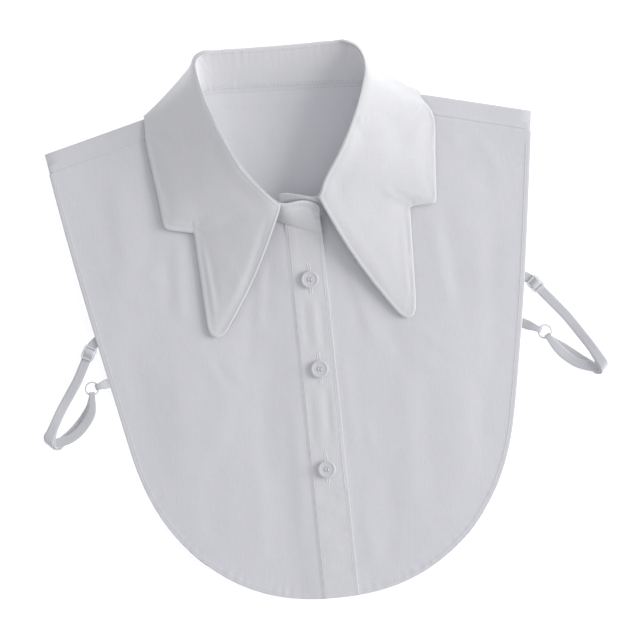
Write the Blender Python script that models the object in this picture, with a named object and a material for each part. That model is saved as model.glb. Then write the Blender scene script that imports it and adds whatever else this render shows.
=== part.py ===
"""Detachable shirt collar, laid flat and front up.

A white cotton dickey: a back panel that folds over the shoulders, two fronts closed by a
placket with three buttons, a collar stand, a collar leaf with a stepped edge and long
points, and an adjustable elastic strap at each side. Tables are in millimetres.
X runs to the viewer's right, Y towards the top of the collar, Z up from the table.
"""

import math

import bmesh
import bpy
from mathutils import Vector

MM = 0.001
WALL = 1.0  # cloth wall
GAP = 0.3  # left between pieces at a seam
PITCH = 1.4  # from the middle of one layer of cloth to the middle of the next
FLOOR_LAYER = WALL / 2  # middle of a layer that lies on the table
ORIGIN = (4.64, -131.9)  # middle of the laid-out garment in the tables' X and Y

# Body
SHOULDER = {-1: ((-172.4, 1.0), (-65.5, 27.4)), 1: ((167.5, -2.8), (62.5, 24.0))}
YOKE_DROP = 12.6  # forward shoulder seam below the shoulder fold
ARMHOLE_TOP = 171.0  # half width at the shoulder tips
ARMHOLE_SLANT = 0.171  # half width lost for each millimetre down
ARMHOLE_BOW = 1.5  # how far the armhole edge bends out halfway down
TOP_SHIFT = -2.5  # middle of the body at the shoulder tips, which fades out downwards
HEM_START = -205.0  # where the armhole edge turns into the hem
HEM_DEPTH = 122.5
HEM_POWER = 2.35  # of the superellipse that the hem follows
HEM_CORNER = math.radians(42)  # where the panel's side ends and its bottom begins
FRONT_OVERHANG = 0.5  # fronts reach this far past the back's edge
BED_EDGE = 112.0  # the back is raised over the folded-under leaf as far out as this
BED_RUN = 22.0  # and comes down to the table over this width
BED_LOWER = -5.0  # and it starts to come down here
BED_DROP = 16.0
PUFF = 3.2  # how far the fronts stand off the back at the neck
PUFF_SIDE = 0.42  # share of the half width over which they rise from the armhole edge
PUFF_TOP = (15.0, 55.0)  # below the shoulder fold, where the rise starts and how long it is
PUFF_HEM = (-328.0, 40.0)  # where it starts above the hem and how long it is
PUFF_LOW = 0.25  # share of the rise that is left just above the hem
PUFF_FADE = (-330.0, 210.0)
CENTRE_EDGE = 14.2  # folded edge of the placket
UNDERLAP_EDGE = -11.5
UNDERLAP_STEP = (-27.0, 14.0)  # where the right front steps up on to the underlap
PLACKET_LEFT = -12.0
PLACKET_TOP = 1.1  # its top edge, below the stand's seam
FACING_DEPTH = 14.0
FACING_TOP = 0.9  # its top edge, below the stand's seam
ROW_STOPS = (0.0, 0.025, 0.055, 0.09, 0.13, 0.18, 0.25, 0.34, 0.39, 0.45, 0.52, 0.60, 0.67,
             0.73, 0.79, 0.84, 0.88, 0.92, 0.96, 1.0)
SEAM_LAP = 1.2  # how far a panel runs on under the stand's lower edge
RING_MIDDLE = (-4.0, 2.0)

# Collar stand, from its outer end at the centre front round the back to its inner end
BAND_COLUMNS = ("seam_x", "seam_y", "fold_x", "fold_y", "fold_z")
BAND = (
    (14.3, -73.5, 13.4, -57.0, 14.0),
    (9.0, -71.4, 9.0, -50.0, 17.3),
    (0.0, -67.8, 0.0, -48.3, 19.0),
    (-11.0, -63.3, -12.4, -49.6, 20.5),
    (-31.0, -50.0, -23.0, -39.8, 23.5),
    (-50.0, -28.0, -37.3, -21.4, 26.5),
    (-60.0, -8.0, -45.8, -3.4, 28.5),
    (-67.0, 14.0, -56.1, 20.8, 29.5),
    (-67.0, 28.0, -61.0, 41.4, 27.0),
    (-62.0, 33.4, -62.6, 52.0, 23.5),
    (-57.0, 34.9, -60.5, 58.5, 21.0),
    (-49.0, 35.0, -51.5, 61.5, 18.5),
    (-33.0, 34.2, -34.0, 61.0, 16.0),
    (-12.0, 33.2, -13.9, 60.2, 14.0),
    (12.0, 32.2, 13.0, 59.8, 12.5),
    (35.0, 31.0, 38.0, 60.0, 13.0),
    (48.0, 30.0, 48.6, 56.0, 16.5),
    (56.0, 28.5, 53.8, 49.0, 20.5),
    (62.0, 24.0, 55.2, 39.0, 24.5),
    (64.0, 14.0, 52.4, 28.0, 27.5),
    (59.0, 0.0, 46.5, 11.4, 29.0),
    (47.0, -22.0, 33.9, -13.5, 27.0),
    (31.0, -43.0, 19.8, -34.2, 23.0),
    (22.0, -54.0, 14.8, -45.5, 20.5),
    (12.0, -61.0, 9.8, -46.6, 18.8),
    (1.0, -60.5, 0.0, -44.2, 17.5),
    (-9.0, -57.5, -10.5, -41.8, 16.5),
    (-14.0, -55.0, -14.3, -43.5, 14.5),
)
BAND_LIFT = 0.4  # more room beneath the stand's lower edge
BAND_BULGE = 0.8  # how far the stand bellies out between its seam and its fold
# Places are counted in rows of BAND from here on.
BAND_ON_FRONTS = (7.6, 19.6)  # the stand is sewn to a front before the first, after the second
BAND_TO_BACK = (8.7, 17.4)  # where it has started and ended its run on the back panel
BAND_STEP = 0.8
NECK_OF_BACK = (8.5, 17.4)
NECK_OF_RIGHT = (6.9, 0.0)
NECK_OF_LEFT = (19.35, 26.3)
NECK_OF_FACING = (9.9, 17.3)
PLACKET_SEAM = (3, 0)

# Collar leaf, a row for each line from the fold to the outer edge. "at" is the place of
# its upper end in the rows of BAND, "under" is 1 where it lies beneath the back, and
# "bow" bends the line sideways, as the front edges are.
LEAF_COLUMNS = ("at", "edge_x", "edge_y", "under", "bow")
LEAF_LEFT = (
    (3.0, -58.6, -133.8, 0.0, 3.2),
    (3.05, -62.4, -137.0, 0.0, 3.2),
    (3.1, -66.8, -138.2, 0.0, 3.0),
    (3.16, -70.9, -136.4, 0.0, 2.5),
    (3.3, -73.0, -130.5, 0.0, 1.5),
    (3.6, -73.8, -97.0, 0.0, 0.0),
    (4.0, -75.4, -63.6, 0.0, 0.0),
    (4.5, -86.0, -61.2, 0.0, 0.0),
    (4.9, -94.6, -59.3, 0.0, 0.0),
    (5.1, -96.3, -56.4, 0.0, 0.0),
    (5.8, -98.0, -34.0, 0.0, 0.0),
    (6.5, -100.6, -14.0, 0.0, 0.0),
    (7.2, -102.6, 3.0, 0.0, 0.0),
)
LEAF_BACK = (
    (10.4, -95.0, 11.0, 1.0, 0.0),
    (11.0, -82.0, 5.0, 1.0, 0.0),
    (12.0, -50.0, 3.5, 1.0, 0.0),
    (13.0, -18.0, 3.0, 1.0, 0.0),
    (14.0, 14.0, 3.0, 1.0, 0.0),
    (15.0, 50.0, 3.0, 1.0, 0.0),
    (15.8, 78.0, 5.0, 1.0, 0.0),
    (16.4, 88.0, 8.0, 1.0, 0.0),
)
LEAF_RIGHT = (
    (19.0, 98.6, 7.0, 0.0, 0.0),
    (19.5, 100.8, -3.0, 0.0, 0.0),
    (20.2, 98.8, -18.0, 0.0, 0.0),
    (21.0, 96.8, -42.0, 0.0, 0.0),
    (21.5, 96.2, -55.0, 0.0, 0.0),
    (21.6, 94.8, -59.4, 0.0, 0.0),
    (21.9, 86.0, -60.0, 0.0, 0.0),
    (22.2, 76.9, -60.5, 0.0, 0.0),
    (22.6, 75.5, -95.0, 0.0, 0.0),
    (23.0, 74.6, -126.0, 0.0, 0.0),
    (23.1, 73.4, -133.6, 0.0, -1.5),
    (23.16, 71.0, -137.2, 0.0, -2.5),
    (23.22, 67.0, -138.2, 0.0, -3.0),
    (23.3, 62.0, -135.2, 0.0, -3.4),
)
LEAF_WRAP = {-1: (8.2, 9.9), 1: (16.9, 18.5)}  # rows of BAND at the shoulder turn
LEAF_WRAP_X = {-1: -102.0, 1: 92.0}  # where the leaf's edge turns round the shoulder
LEAF_WRAP_RADIUS = 2.3
LEAF_WRAP_OUT = 0.6  # how far past the shoulder fold the turn's middle lies
LEAF_WRAP_HEIGHT = 2.8  # of the turn's middle
LEAF_WRAP_DROP = 3.0  # the turn's ends lie this far down the collar
LEAF_WRAP_FLAT = 0.7  # below 1 the turn is flatter above and below
LEAF_LIFT = 1.2  # the leaf's outer edge stands this far off the fronts
LEAF_OVER_BAND = WALL + GAP + 0.1  # its middle stands this far over the stand's top edge
LEAF_STEP = 0.55  # between two lines of the leaf
# Across the leaf, where it lies over a front: how far out from the fold, and the share of
# the line. Then the same where it folds back beneath the collar, with the share of height.
LEAF_OVER = (
    (0.0, 0.00), (0.9, 0.00), (1.8, 0.02), (1.8, 0.07), (1.0, 0.15), (0.4, 0.27),
    (0.0, 0.41), (0.0, 0.56), (0.0, 0.71), (0.0, 0.86), (0.0, 1.00),
)
LEAF_UNDER = (
    (0.0, 0.00, 1.00), (1.2, 0.00, 0.98), (2.0, 0.00, 0.88), (2.1, 0.00, 0.72),
    (0.8, 0.02, 0.46), (0.0, 0.09, 0.21), (0.0, 0.18, 0.06), (0.0, 0.30, 0.00),
    (0.0, 0.50, 0.00), (0.0, 0.75, 0.00), (0.0, 1.00, 0.00),
)
LEAF_SAG = 1.15  # above 1 the leaf falls faster near its fold

# Buttons
BUTTONS = ((2.0, -103.9), (2.5, -166.9), (0.4, -237.1))
BUTTON_SEAT = WALL / 2 + GAP + 0.2  # from the placket's middle to the button's underside
# Radius and height, from the middle of the underside round to the middle of the face
BUTTON_PROFILE = ((0.0, 0.0), (4.6, 0.0), (6.0, 0.7), (6.25, 1.5), (5.9, 2.4), (5.2, 2.6),
                  (4.5, 2.2), (3.6, 1.9), (0.0, 1.9))
BUTTON_SIDES = 22
BUTTON_HOLES = 4
BUTTON_HOLE = 0.75
BUTTON_HOLE_OUT = 1.35
BUTTON_HOLE_DEPTH = 8.0

# Side straps
TUCK_HALF = 18.0  # the fronts' edges are lifted this far each way from a strap's root
TUCK_FADE = 17.0
STRAP_WIDTH = 6.8
STRAP_AT_RING = 4.4  # the webbing gathers where it passes the ring
STRAP_STACK = 1.4
FOLD_RADII = (3.0, 1.6)  # of the outer and the inner run at the far end
RING_RADIUS = 4.6
RING_WIRE = 0.65
RING_HEIGHT = 2.3
RING_TURN = 1.68  # the webbing's radius round the wire
RING_SEAT = 4.33  # middle of that turn from the ring's middle
SLIDER_LENGTH = 9.6
SLIDER_WIDTH = 8.8
SLIDER_BAR = 1.2
SLIDER_THICK = 1.0
SLIDER_BOTTOM = 2.7
SLIDER_HUMP = 4.5  # height of the webbing over the slider's middle bar
SLIDER_SIDES = (-0.3, 0.0, 0.35, 0.0, 0.0, 0.35, 0.0, -0.3)  # its lobes, from end to end
# Along the strap from the slider's middle, and 1 where the webbing is over the middle bar
OVER_SLIDER = ((-5.6, 0), (-3.3, 0), (-0.95, 1), (0.95, 1), (3.3, 0), (6.5, 0))
UNDER_SLIDER = (6.5, 4.4, 1.0)
RUN_STEPS = 12
RUN_LIFT = 0.45  # share of a run that stays low before it rises to its turn
TAB_HEIGHTS = (0.7, 2.1)  # of its two layers at the garment's edge
STRAPS = {
    "left": {
        "root": (-145.5, -127.0),
        "slider": (-157.0, -139.6),
        "upper": ((-166.1, -157.0), (-180.7, -178.2), (-187.4, -190.0)),
        "far": (-188.6, -199.2),
        "lower": ((-175.9, -198.0), (-168.8, -193.4), (-162.5, -186.7), (-158.4, -179.4)),
        "ring": (-157.2, -164.6),
        "tab_y": -161.9,
        "slip": 3.0,
    },
    "right": {
        "root": (146.6, -112.8),
        "slider": (158.6, -122.8),
        "upper": ((166.5, -132.4), (178.8, -147.6), (193.8, -171.2)),
        "far": (198.6, -185.0),
        "lower": ((184.6, -182.0), (178.6, -178.2), (171.8, -171.6), (166.6, -164.9)),
        "ring": (162.0, -156.6),
        "tab_y": -149.0,
        "slip": -3.6,
    },
}

CLOTH = ((0.86, 0.87, 0.90), 0.85)
ELASTIC = ((0.80, 0.81, 0.84), 0.7)
PLASTIC = ((0.88, 0.89, 0.92), 0.3)


def smooth(t):
    t = min(1.0, max(0.0, t))
    return t * t * (3 - 2 * t)


def mix(a, b, t):
    return a + (b - a) * t


def column(table, names, name):
    return [row[names.index(name)] for row in table]


def curve_at(values, place):
    """A smooth curve through evenly placed values, at a place counted in rows."""
    last = len(values) - 1
    i = min(int(place), last - 1)
    t = place - i
    p = [values[min(last, max(0, i + k))] for k in (-1, 0, 1, 2)]
    if i == 0:
        p[0] = 2 * p[1] - p[2]
    if i == last - 1:
        p[3] = 2 * p[2] - p[1]
    return 0.5 * (2 * p[1] + (p[2] - p[0]) * t + (2 * p[0] - 5 * p[1] + 4 * p[2] - p[3]) * t * t
                  + (3 * p[1] - p[0] - 3 * p[2] + p[3]) * t ** 3)


def band_at(name, place):
    return curve_at(column(BAND, BAND_COLUMNS, name), place)


def seam_at(place):
    return Vector((band_at("seam_x", place), band_at("seam_y", place)))


def fold_at(place):
    return Vector((band_at("fold_x", place), band_at("fold_y", place)))


def inward(point):
    return (Vector(RING_MIDDLE) - point).normalized()


# Outline and heights of the body

def side_x(sign, y):
    """The armhole edge's X at a height on the table."""
    share = min(1.0, max(0.0, y / HEM_START))
    shift = TOP_SHIFT * (1 - smooth(share))
    bow = ARMHOLE_BOW * math.sin(math.pi * share)
    return shift + sign * (ARMHOLE_TOP + ARMHOLE_SLANT * y + bow)


def hem_point(sign, angle):
    """A point on the hem: angle 0 is at the armhole's end, 90 degrees at the middle."""
    y = HEM_START - HEM_DEPTH * math.sin(angle) ** (2 / HEM_POWER)
    share = max(0.0, math.cos(angle)) ** (2 / HEM_POWER)
    return Vector((side_x(sign, y) * share, y))


def hem_y(x):
    """The hem's Y near the middle of the garment."""
    low, high = 0.0, math.pi / 2
    for _ in range(40):
        middle = (low + high) / 2
        if abs(hem_point(1 if x > 0 else -1, middle).x) > abs(x):
            low = middle
        else:
            high = middle
    return hem_point(1 if x > 0 else -1, low).y


def shoulder_point(sign, share, drop=0.0):
    """A point on the shoulder fold, from its tip to the neck, moved down the front."""
    tip, neck = (Vector(p) for p in SHOULDER[sign])
    run = neck - tip
    down = Vector((run.y, -run.x)).normalized()
    if down.y > 0:
        down = -down
    return tip + run * share + down * drop


def shoulder_tip(sign, drop, overhang=0.0):
    """The share at which a line below the shoulder fold meets the armhole edge."""
    length = abs(SHOULDER[sign][1][0] - SHOULDER[sign][0][0])
    share = 0.0
    for _ in range(8):
        p = shoulder_point(sign, share, drop)
        share += (sign * p.x - sign * side_x(sign, p.y) - overhang) / length
    return share


def shoulder_y(x):
    sign = 1 if x > 0 else -1
    tip, neck = SHOULDER[sign]
    share = (abs(tip[0]) - abs(x)) / (abs(tip[0]) - abs(neck[0]))
    return tip[1] + (neck[1] - tip[1]) * min(1.0, max(0.0, share))


def back_height(x, y):
    """Middle of the back panel: on the table, and raised where the leaf lies beneath it."""
    across = 1 - smooth((abs(x) - BED_EDGE) / BED_RUN)
    down = 1 - smooth((BED_LOWER - y) / BED_DROP)
    return FLOOR_LAYER + PITCH * across * down


def puff(x, y):
    """How far the fronts stand off the layer beneath them."""
    share = min(1.0, abs(x) / side_x(1, y))
    across = smooth((1 - share) / PUFF_SIDE)
    start, run = PUFF_TOP
    down = smooth((shoulder_y(x) - start - y) / run)
    low, high = PUFF_FADE
    fade = mix(PUFF_LOW, 1.0, smooth((y - low) / high))
    hem, rise = PUFF_HEM
    return PUFF * across * down * fade * smooth((y - hem) / rise)


def tuck(x, y):
    """The fronts' edges step over the strap ends that are sewn in on the back's edge."""
    root = STRAPS["left" if x < 0 else "right"]["root"]
    near = 1 - smooth((abs(y - root[1]) - TUCK_HALF) / TUCK_FADE)
    return PITCH * near * smooth((abs(x) - BED_EDGE) / BED_RUN)


def left_height(x, y):
    """Middle of the front at the viewer's right, the wearer's left."""
    return back_height(x, y) + PITCH + puff(x, y) + tuck(x, y)


def right_height(x, y):
    """Middle of the front at the viewer's left, which steps up on to the underlap."""
    start, run = UNDERLAP_STEP
    return left_height(x, y) + PITCH * smooth((x - start) / run)


# Meshes

def material(name, look):
    colour, roughness = look
    made = bpy.data.materials.new(name)
    made.use_nodes = True
    shader = made.node_tree.nodes["Principled BSDF"]
    shader.inputs["Base Color"].default_value = (*colour, 1)
    shader.inputs["Roughness"].default_value = roughness
    shader.inputs["Metallic"].default_value = 0.0
    return made


def add(name, points, faces, surface):
    """An object from points in the tables' millimetres."""
    mesh = bpy.data.meshes.new(name)
    mesh.from_pydata([((x - ORIGIN[0]) * MM, (y - ORIGIN[1]) * MM, z * MM) for x, y, z in points],
                     [], faces)
    shape = bmesh.new()
    shape.from_mesh(mesh)
    bmesh.ops.recalc_face_normals(shape, faces=shape.faces)
    shape.to_mesh(mesh)
    shape.free()
    mesh.shade_smooth()
    mesh.set_sharp_from_angle(angle=math.radians(40))
    made = bpy.data.objects.new(name, mesh)
    bpy.context.scene.collection.objects.link(made)
    mesh.materials.append(surface)
    return made


def wall(name, nodes, cells, surface, thickness=WALL):
    """A closed wall of cloth round a net of middle points. nodes maps keys to points."""
    normals = {key: Vector() for key in nodes}
    for cell in cells:
        a, b, c, d = (nodes[key] for key in cell)
        normal = (c - a).cross(d - b)
        for key in cell:
            normals[key] += normal
    keys = [key for key in nodes if normals[key].length > 0]
    index = {key: i for i, key in enumerate(keys)}
    points = [nodes[key] + normals[key].normalized() * thickness / 2 for key in keys]
    points += [nodes[key] - normals[key].normalized() * thickness / 2 for key in keys]
    count = len(keys)
    faces = []
    edges = {}
    for cell in cells:
        top = [index[key] for key in cell]
        faces.append(top)
        faces.append([i + count for i in reversed(top)])
        for a, b in zip(top, top[1:] + top[:1]):
            if edges.pop((b, a), None) is None:
                edges[a, b] = True
    for a, b in edges:
        faces.append((b, a, a + count, b + count))
    return add(name, [tuple(p) for p in points], faces, surface)


def net(rows):
    """Nodes and cells of a plain grid, given as rows of points."""
    nodes = {(i, j): Vector(p) for i, row in enumerate(rows) for j, p in enumerate(row)}
    cells = [((i, j), (i, j + 1), (i + 1, j + 1), (i + 1, j))
             for i in range(len(rows) - 1) for j in range(len(rows[0]) - 1)]
    return nodes, cells


def spread(points, count):
    """The line through the points, cut into count even lengths."""
    return cut(points, [k / count for k in range(count + 1)])


def cut(points, stops):
    """Points of a line at shares of its length."""
    points = [Vector(p) for p in points]
    along = [0.0]
    for a, b in zip(points, points[1:]):
        along.append(along[-1] + (b - a).length)
    out = []
    for stop in stops:
        want = along[-1] * stop
        i = max(j for j in range(len(points) - 1) if along[j] <= want + 1e-9)
        step = along[i + 1] - along[i]
        out.append(points[i].lerp(points[i + 1], (want - along[i]) / step if step else 0.0))
    return out


def patch(top, bottom, left, right, stops):
    """Rows of plan points that fill four edges; top and bottom run from left to right."""
    rows = []
    for j, v in enumerate(stops):
        row = []
        for i in range(len(top)):
            u = i / (len(top) - 1)
            sides = left[j] * (1 - u) + right[j] * u
            ends = top[i] * (1 - v) + bottom[i] * v
            corners = ((top[0] * (1 - u) + top[-1] * u) * (1 - v)
                       + (bottom[0] * (1 - u) + bottom[-1] * u) * v)
            row.append(sides + ends - corners)
        rows.append(row)
    return rows


def raised(rows, height):
    return [[Vector((p.x, p.y, height(p.x, p.y))) for p in row] for row in rows]


def outer_edge(sign, top_y, overhang=0.0):
    """The armhole edge down to the corner where the hem's own curve starts."""
    points = []
    for k in range(13):
        y = mix(top_y, HEM_START, k / 12)
        points.append(Vector((side_x(sign, y), y)))
    points += [hem_point(sign, HEM_CORNER * k / 10) for k in range(1, 11)]
    return [p + Vector((sign * overhang, 0)) for p in cut(points, ROW_STOPS)]


def hem_edge(sign, start_x, count):
    """The hem from the panel's corner to a place near the middle."""
    points = [hem_point(sign, HEM_CORNER)]
    x_corner = points[0].x
    for k in range(1, 25):
        x = mix(x_corner, start_x, k / 24)
        points.append(Vector((x, hem_y(x))))
    return spread(points, count)


def back_panel(cloth):
    """The back, with the strips that fold over the shoulders to the forward seam."""
    shoulder_cells, neck_cells = 7, 10

    def fold_point(sign, step, drop):
        share = mix(shoulder_tip(sign, drop), 1.0, step / shoulder_cells)
        return shoulder_point(sign, share, drop)

    left = [fold_point(-1, k, 0.0) for k in range(shoulder_cells + 1)]
    right = [fold_point(1, shoulder_cells - k, 0.0) for k in range(shoulder_cells + 1)]
    neck = []
    for k in range(1, neck_cells):
        seam = seam_at(mix(*NECK_OF_BACK, k / neck_cells))
        neck.append(seam - inward(seam) * SEAM_LAP)
    top = left + neck + right
    hem = [hem_point(-1, mix(HEM_CORNER, math.pi / 2, k / 12)) for k in range(13)]
    hem += [hem_point(1, mix(math.pi / 2, HEM_CORNER, k / 12)) for k in range(1, 13)]
    rows = patch(top, spread(hem, len(top) - 1), outer_edge(-1, top[0].y),
                 outer_edge(1, top[-1].y), ROW_STOPS)
    nodes, cells = net(raised(rows, back_height))
    radius = PITCH / 2
    for sign, columns in ((-1, range(shoulder_cells + 1)),
                          (1, range(len(top) - 1 - shoulder_cells, len(top)))):
        strip = []
        down = (shoulder_point(sign, 0.0, 1.0) - shoulder_point(sign, 0.0)).normalized()
        for i in columns:
            step = i if sign < 0 else len(top) - 1 - i
            fold = top[i]
            base = back_height(fold.x, fold.y)
            line = []
            for k in range(1, 5):
                turn = math.pi * k / 4
                p = fold - down * radius * math.sin(turn)
                line.append(Vector((p.x, p.y, base + radius * (1 - math.cos(turn)))))
            for k in (1, 2):
                p = fold_point(sign, step, YOKE_DROP * k / 2)
                line.append(Vector((p.x, p.y, back_height(p.x, p.y) + PITCH)))
            strip.append(line)
        for i, line in zip(columns, strip):
            for k, p in enumerate(line):
                nodes[-1 - k, i] = p
        for i in list(columns)[:-1]:
            for k in range(6):
                below = -k
                cells.append(((below - 1, i), (below - 1, i + 1), (below, i + 1), (below, i)))
    return wall("back_panel", nodes, cells, cloth)


def front(name, sign, centre_x, neck_rows, height, cloth):
    """One front: shoulder seam and neck along its top, centre edge, hem and armhole."""
    seam_cells, neck_cells = 6, 9
    drop = YOKE_DROP + WALL / 2 + GAP
    tip = shoulder_tip(sign, drop, FRONT_OVERHANG)
    seam = [shoulder_point(sign, mix(tip, 1.0, k / seam_cells), drop) for k in range(seam_cells)]
    neck = []
    for k in range(neck_cells + 1):
        point = seam_at(mix(neck_rows[0], neck_rows[1], k / neck_cells))
        neck.append(point + inward(point) * SEAM_LAP)
    neck[-1] = Vector((centre_x, neck[-1].y))
    top = seam + neck
    outer = outer_edge(sign, seam[0].y, FRONT_OVERHANG)
    outer[0] = top[0]
    hem = hem_edge(sign, centre_x, len(top) - 1)
    hem[0] = outer[-1]
    centre = [Vector((centre_x, mix(top[-1].y, hem[-1].y, stop))) for stop in ROW_STOPS]
    rows = patch(top, hem, outer, centre, ROW_STOPS)
    nodes, cells = net(raised(rows, height))
    return wall(name, nodes, cells, cloth)


def placket(cloth):
    """The strip down the centre edge, one layer above the front."""
    across, down = 4, 26
    inner, end = (seam_at(place) for place in PLACKET_SEAM)
    rows = []
    for j in range(down + 1):
        row = []
        for i in range(across + 1):
            x = mix(PLACKET_LEFT, CENTRE_EDGE, i / across)
            top = mix(inner.y, end.y, (x - inner.x) / (end.x - inner.x)) - PLACKET_TOP
            y = mix(top, hem_y(x), j / down)
            row.append(Vector((x, y, right_height(x, y) + PITCH)))
        rows.append(row)
    return wall("placket", *net(rows), cloth)


def layer_under_band(place, point):
    """Middle of the cloth that the stand's lower edge stands on."""
    if place <= BAND_ON_FRONTS[0]:
        return right_height(point.x, point.y)
    if place >= BAND_ON_FRONTS[1]:
        return left_height(point.x, point.y)
    start, end = BAND_TO_BACK
    on_back = smooth((place - start) / BAND_STEP) * smooth((end - place) / BAND_STEP)
    return back_height(point.x, point.y) + PITCH * (1 - on_back)


def band_column(place, steps):
    """Middle points of the stand from its seam up to its fold."""
    seam, fold = seam_at(place), fold_at(place)
    rise = band_at("fold_z", place)
    lean = (fold - seam).length
    flat = lean / math.hypot(lean, rise)
    base = layer_under_band(place, seam) + WALL / 2 + GAP + WALL / 2 * flat + BAND_LIFT
    out = []
    for k in range(steps + 1):
        t = k / steps
        p = seam.lerp(fold, t)
        p -= inward(p) * BAND_BULGE * math.sin(math.pi * t) * (1 - flat)
        out.append(Vector((p.x, p.y, mix(base, rise, t))))
    return out


def stand(cloth):
    places = []
    last = len(BAND) - 1
    for i in range(last):
        places += [i, i + 0.5]
    places.append(last)
    return wall("collar_stand", *net([band_column(place, 4) for place in places]), cloth)


def wrap_rows(sign):
    """Rows of the leaf where it turns round the shoulder fold."""
    first, last = LEAF_WRAP[sign]
    x = LEAF_WRAP_X[sign]
    out = []
    for k in range(5):
        turn = math.pi * k / 4
        y = shoulder_y(x) + LEAF_WRAP_OUT + LEAF_WRAP_RADIUS * math.sin(turn)
        y -= LEAF_WRAP_DROP * math.cos(turn) ** 2
        under = k / 4
        place = mix(first, last, under if sign < 0 else 1 - under)
        rise = LEAF_WRAP_RADIUS * abs(math.cos(turn)) ** LEAF_WRAP_FLAT
        height = LEAF_WRAP_HEIGHT + math.copysign(rise, math.cos(turn))
        out.append((place, x, y, under, 0.0, height))
    return out if sign < 0 else out[::-1]


def leaf_rows():
    """All the lines of the leaf with the height of their outer ends."""
    out = []
    for table in (LEAF_LEFT, "left turn", LEAF_BACK, "right turn", LEAF_RIGHT):
        if isinstance(table, str):
            out += wrap_rows(-1 if table == "left turn" else 1)
            continue
        for row in table:
            line = dict(zip(LEAF_COLUMNS, row))
            x, y = line["edge_x"], line["edge_y"]
            beneath = right_height if x < 0 else left_height
            height = FLOOR_LAYER if line["under"] else beneath(x, y) + PITCH + LEAF_LIFT
            out.append((*row, height))
    return out


def leaf_line(row):
    """Middle points of the leaf from its fold to its outer edge."""
    place, x, y, under, bow, end = row
    fold = fold_at(place)
    top = band_at("fold_z", place) + LEAF_OVER_BAND
    edge = Vector((x, y))
    run = edge - fold
    across = Vector((-run.y, run.x)).normalized()
    out = []
    for (out_over, share_over), (out_under, share_under, fall) in zip(LEAF_OVER, LEAF_UNDER):
        share = mix(share_over, share_under, under)
        reach = mix(out_over, out_under, under)
        p = fold + run * share - inward(fold) * reach
        p += across * bow * math.sin(math.pi * share)
        over = mix(end, top, (1 - share_over) ** LEAF_SAG)
        below = mix(end, top, fall)
        out.append(Vector((p.x, p.y, mix(over, below, under))))
    return out


def leaf(cloth):
    rows = leaf_rows()
    lines = []
    for a, b in zip(rows, rows[1:]):
        lines.append(leaf_line(a))
        steps = max(1, round((b[0] - a[0]) / LEAF_STEP))
        for k in range(1, steps):
            lines.append(leaf_line([mix(p, q, k / steps) for p, q in zip(a, b)]))
    lines.append(leaf_line(rows[-1]))
    return wall("collar_leaf", *net(lines), cloth)


def facing(cloth):
    """The band inside the back neck, just below the stand."""
    rows = [[], [], []]
    for k in range(15):
        seam = seam_at(mix(*NECK_OF_FACING, k / 14))
        for j, row in enumerate(rows):
            p = seam - Vector((0, FACING_TOP + FACING_DEPTH * j / 2))
            row.append(Vector((p.x, p.y, back_height(p.x, p.y) + PITCH)))
    return wall("neck_facing", *net(rows), cloth)


def button(index, x, y, plastic):
    """A turned button with a rim and four holes."""
    lift = right_height(x, y) + PITCH + BUTTON_SEAT
    points = []
    faces = []
    rings = []
    for radius, height in BUTTON_PROFILE:
        if radius == 0:
            rings.append([len(points)])
            points.append((x, y, lift + height))
            continue
        ring = []
        for k in range(BUTTON_SIDES):
            turn = math.tau * k / BUTTON_SIDES
            ring.append(len(points))
            points.append((x + radius * math.cos(turn), y + radius * math.sin(turn), lift + height))
        rings.append(ring)
    for a, b in zip(rings, rings[1:]):
        for k in range(BUTTON_SIDES):
            n = (k + 1) % BUTTON_SIDES
            if len(a) == 1:
                faces.append((a[0], b[n], b[k]))
            elif len(b) == 1:
                faces.append((a[k], a[n], b[0]))
            else:
                faces.append((a[k], a[n], b[n], b[k]))
    made = add(f"button_{index}", points, faces, plastic)
    for k in range(BUTTON_HOLES):
        turn = math.tau * (k + 0.5) / BUTTON_HOLES
        bpy.ops.mesh.primitive_cylinder_add(
            vertices=8, radius=BUTTON_HOLE * MM, depth=BUTTON_HOLE_DEPTH * MM,
            location=((x - ORIGIN[0] + BUTTON_HOLE_OUT * math.cos(turn)) * MM,
                      (y - ORIGIN[1] + BUTTON_HOLE_OUT * math.sin(turn)) * MM,
                      (lift + BUTTON_PROFILE[-1][1] / 2) * MM))
        cutter = bpy.context.object
        cutter.name = f"button_{index}_hole_{k + 1}"
        cutter.hide_render = True
        cutter.display_type = "WIRE"
        hole = made.modifiers.new(f"Hole {k + 1}", "BOOLEAN")
        hole.operation = "DIFFERENCE"
        hole.object = cutter
    return made


# Side straps

def turn_back(middle, height, come, go, radius, upward, steps=7):
    """Stations of webbing folding back over itself, round an axis across its path."""
    come, go = Vector(come).normalized(), Vector(go).normalized()
    out = (come - go).normalized()
    axis = Vector((out.y, -out.x))
    if axis.dot(come + go) < 0:
        axis = -axis
    lean = come.angle(out)
    slip = math.pi * radius * math.tan(lean)
    ruling = Vector((axis.x, axis.y, 0)) / math.cos(lean)
    stations = []
    for k in range(steps + 1):
        turn = math.pi * k / steps
        side = -1 if upward else 1
        radial = Vector((out.x * math.sin(turn), out.y * math.sin(turn), side * math.cos(turn)))
        plan = Vector(middle) + axis * slip * (k / steps - 0.5)
        point = Vector((plan.x, plan.y, height)) + radial * radius
        stations.append((point, radial, ruling))
    return stations


def flat_run(points, radial_z):
    return [(Vector(p), Vector((0, 0, radial_z)), None) for p in points]


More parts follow.
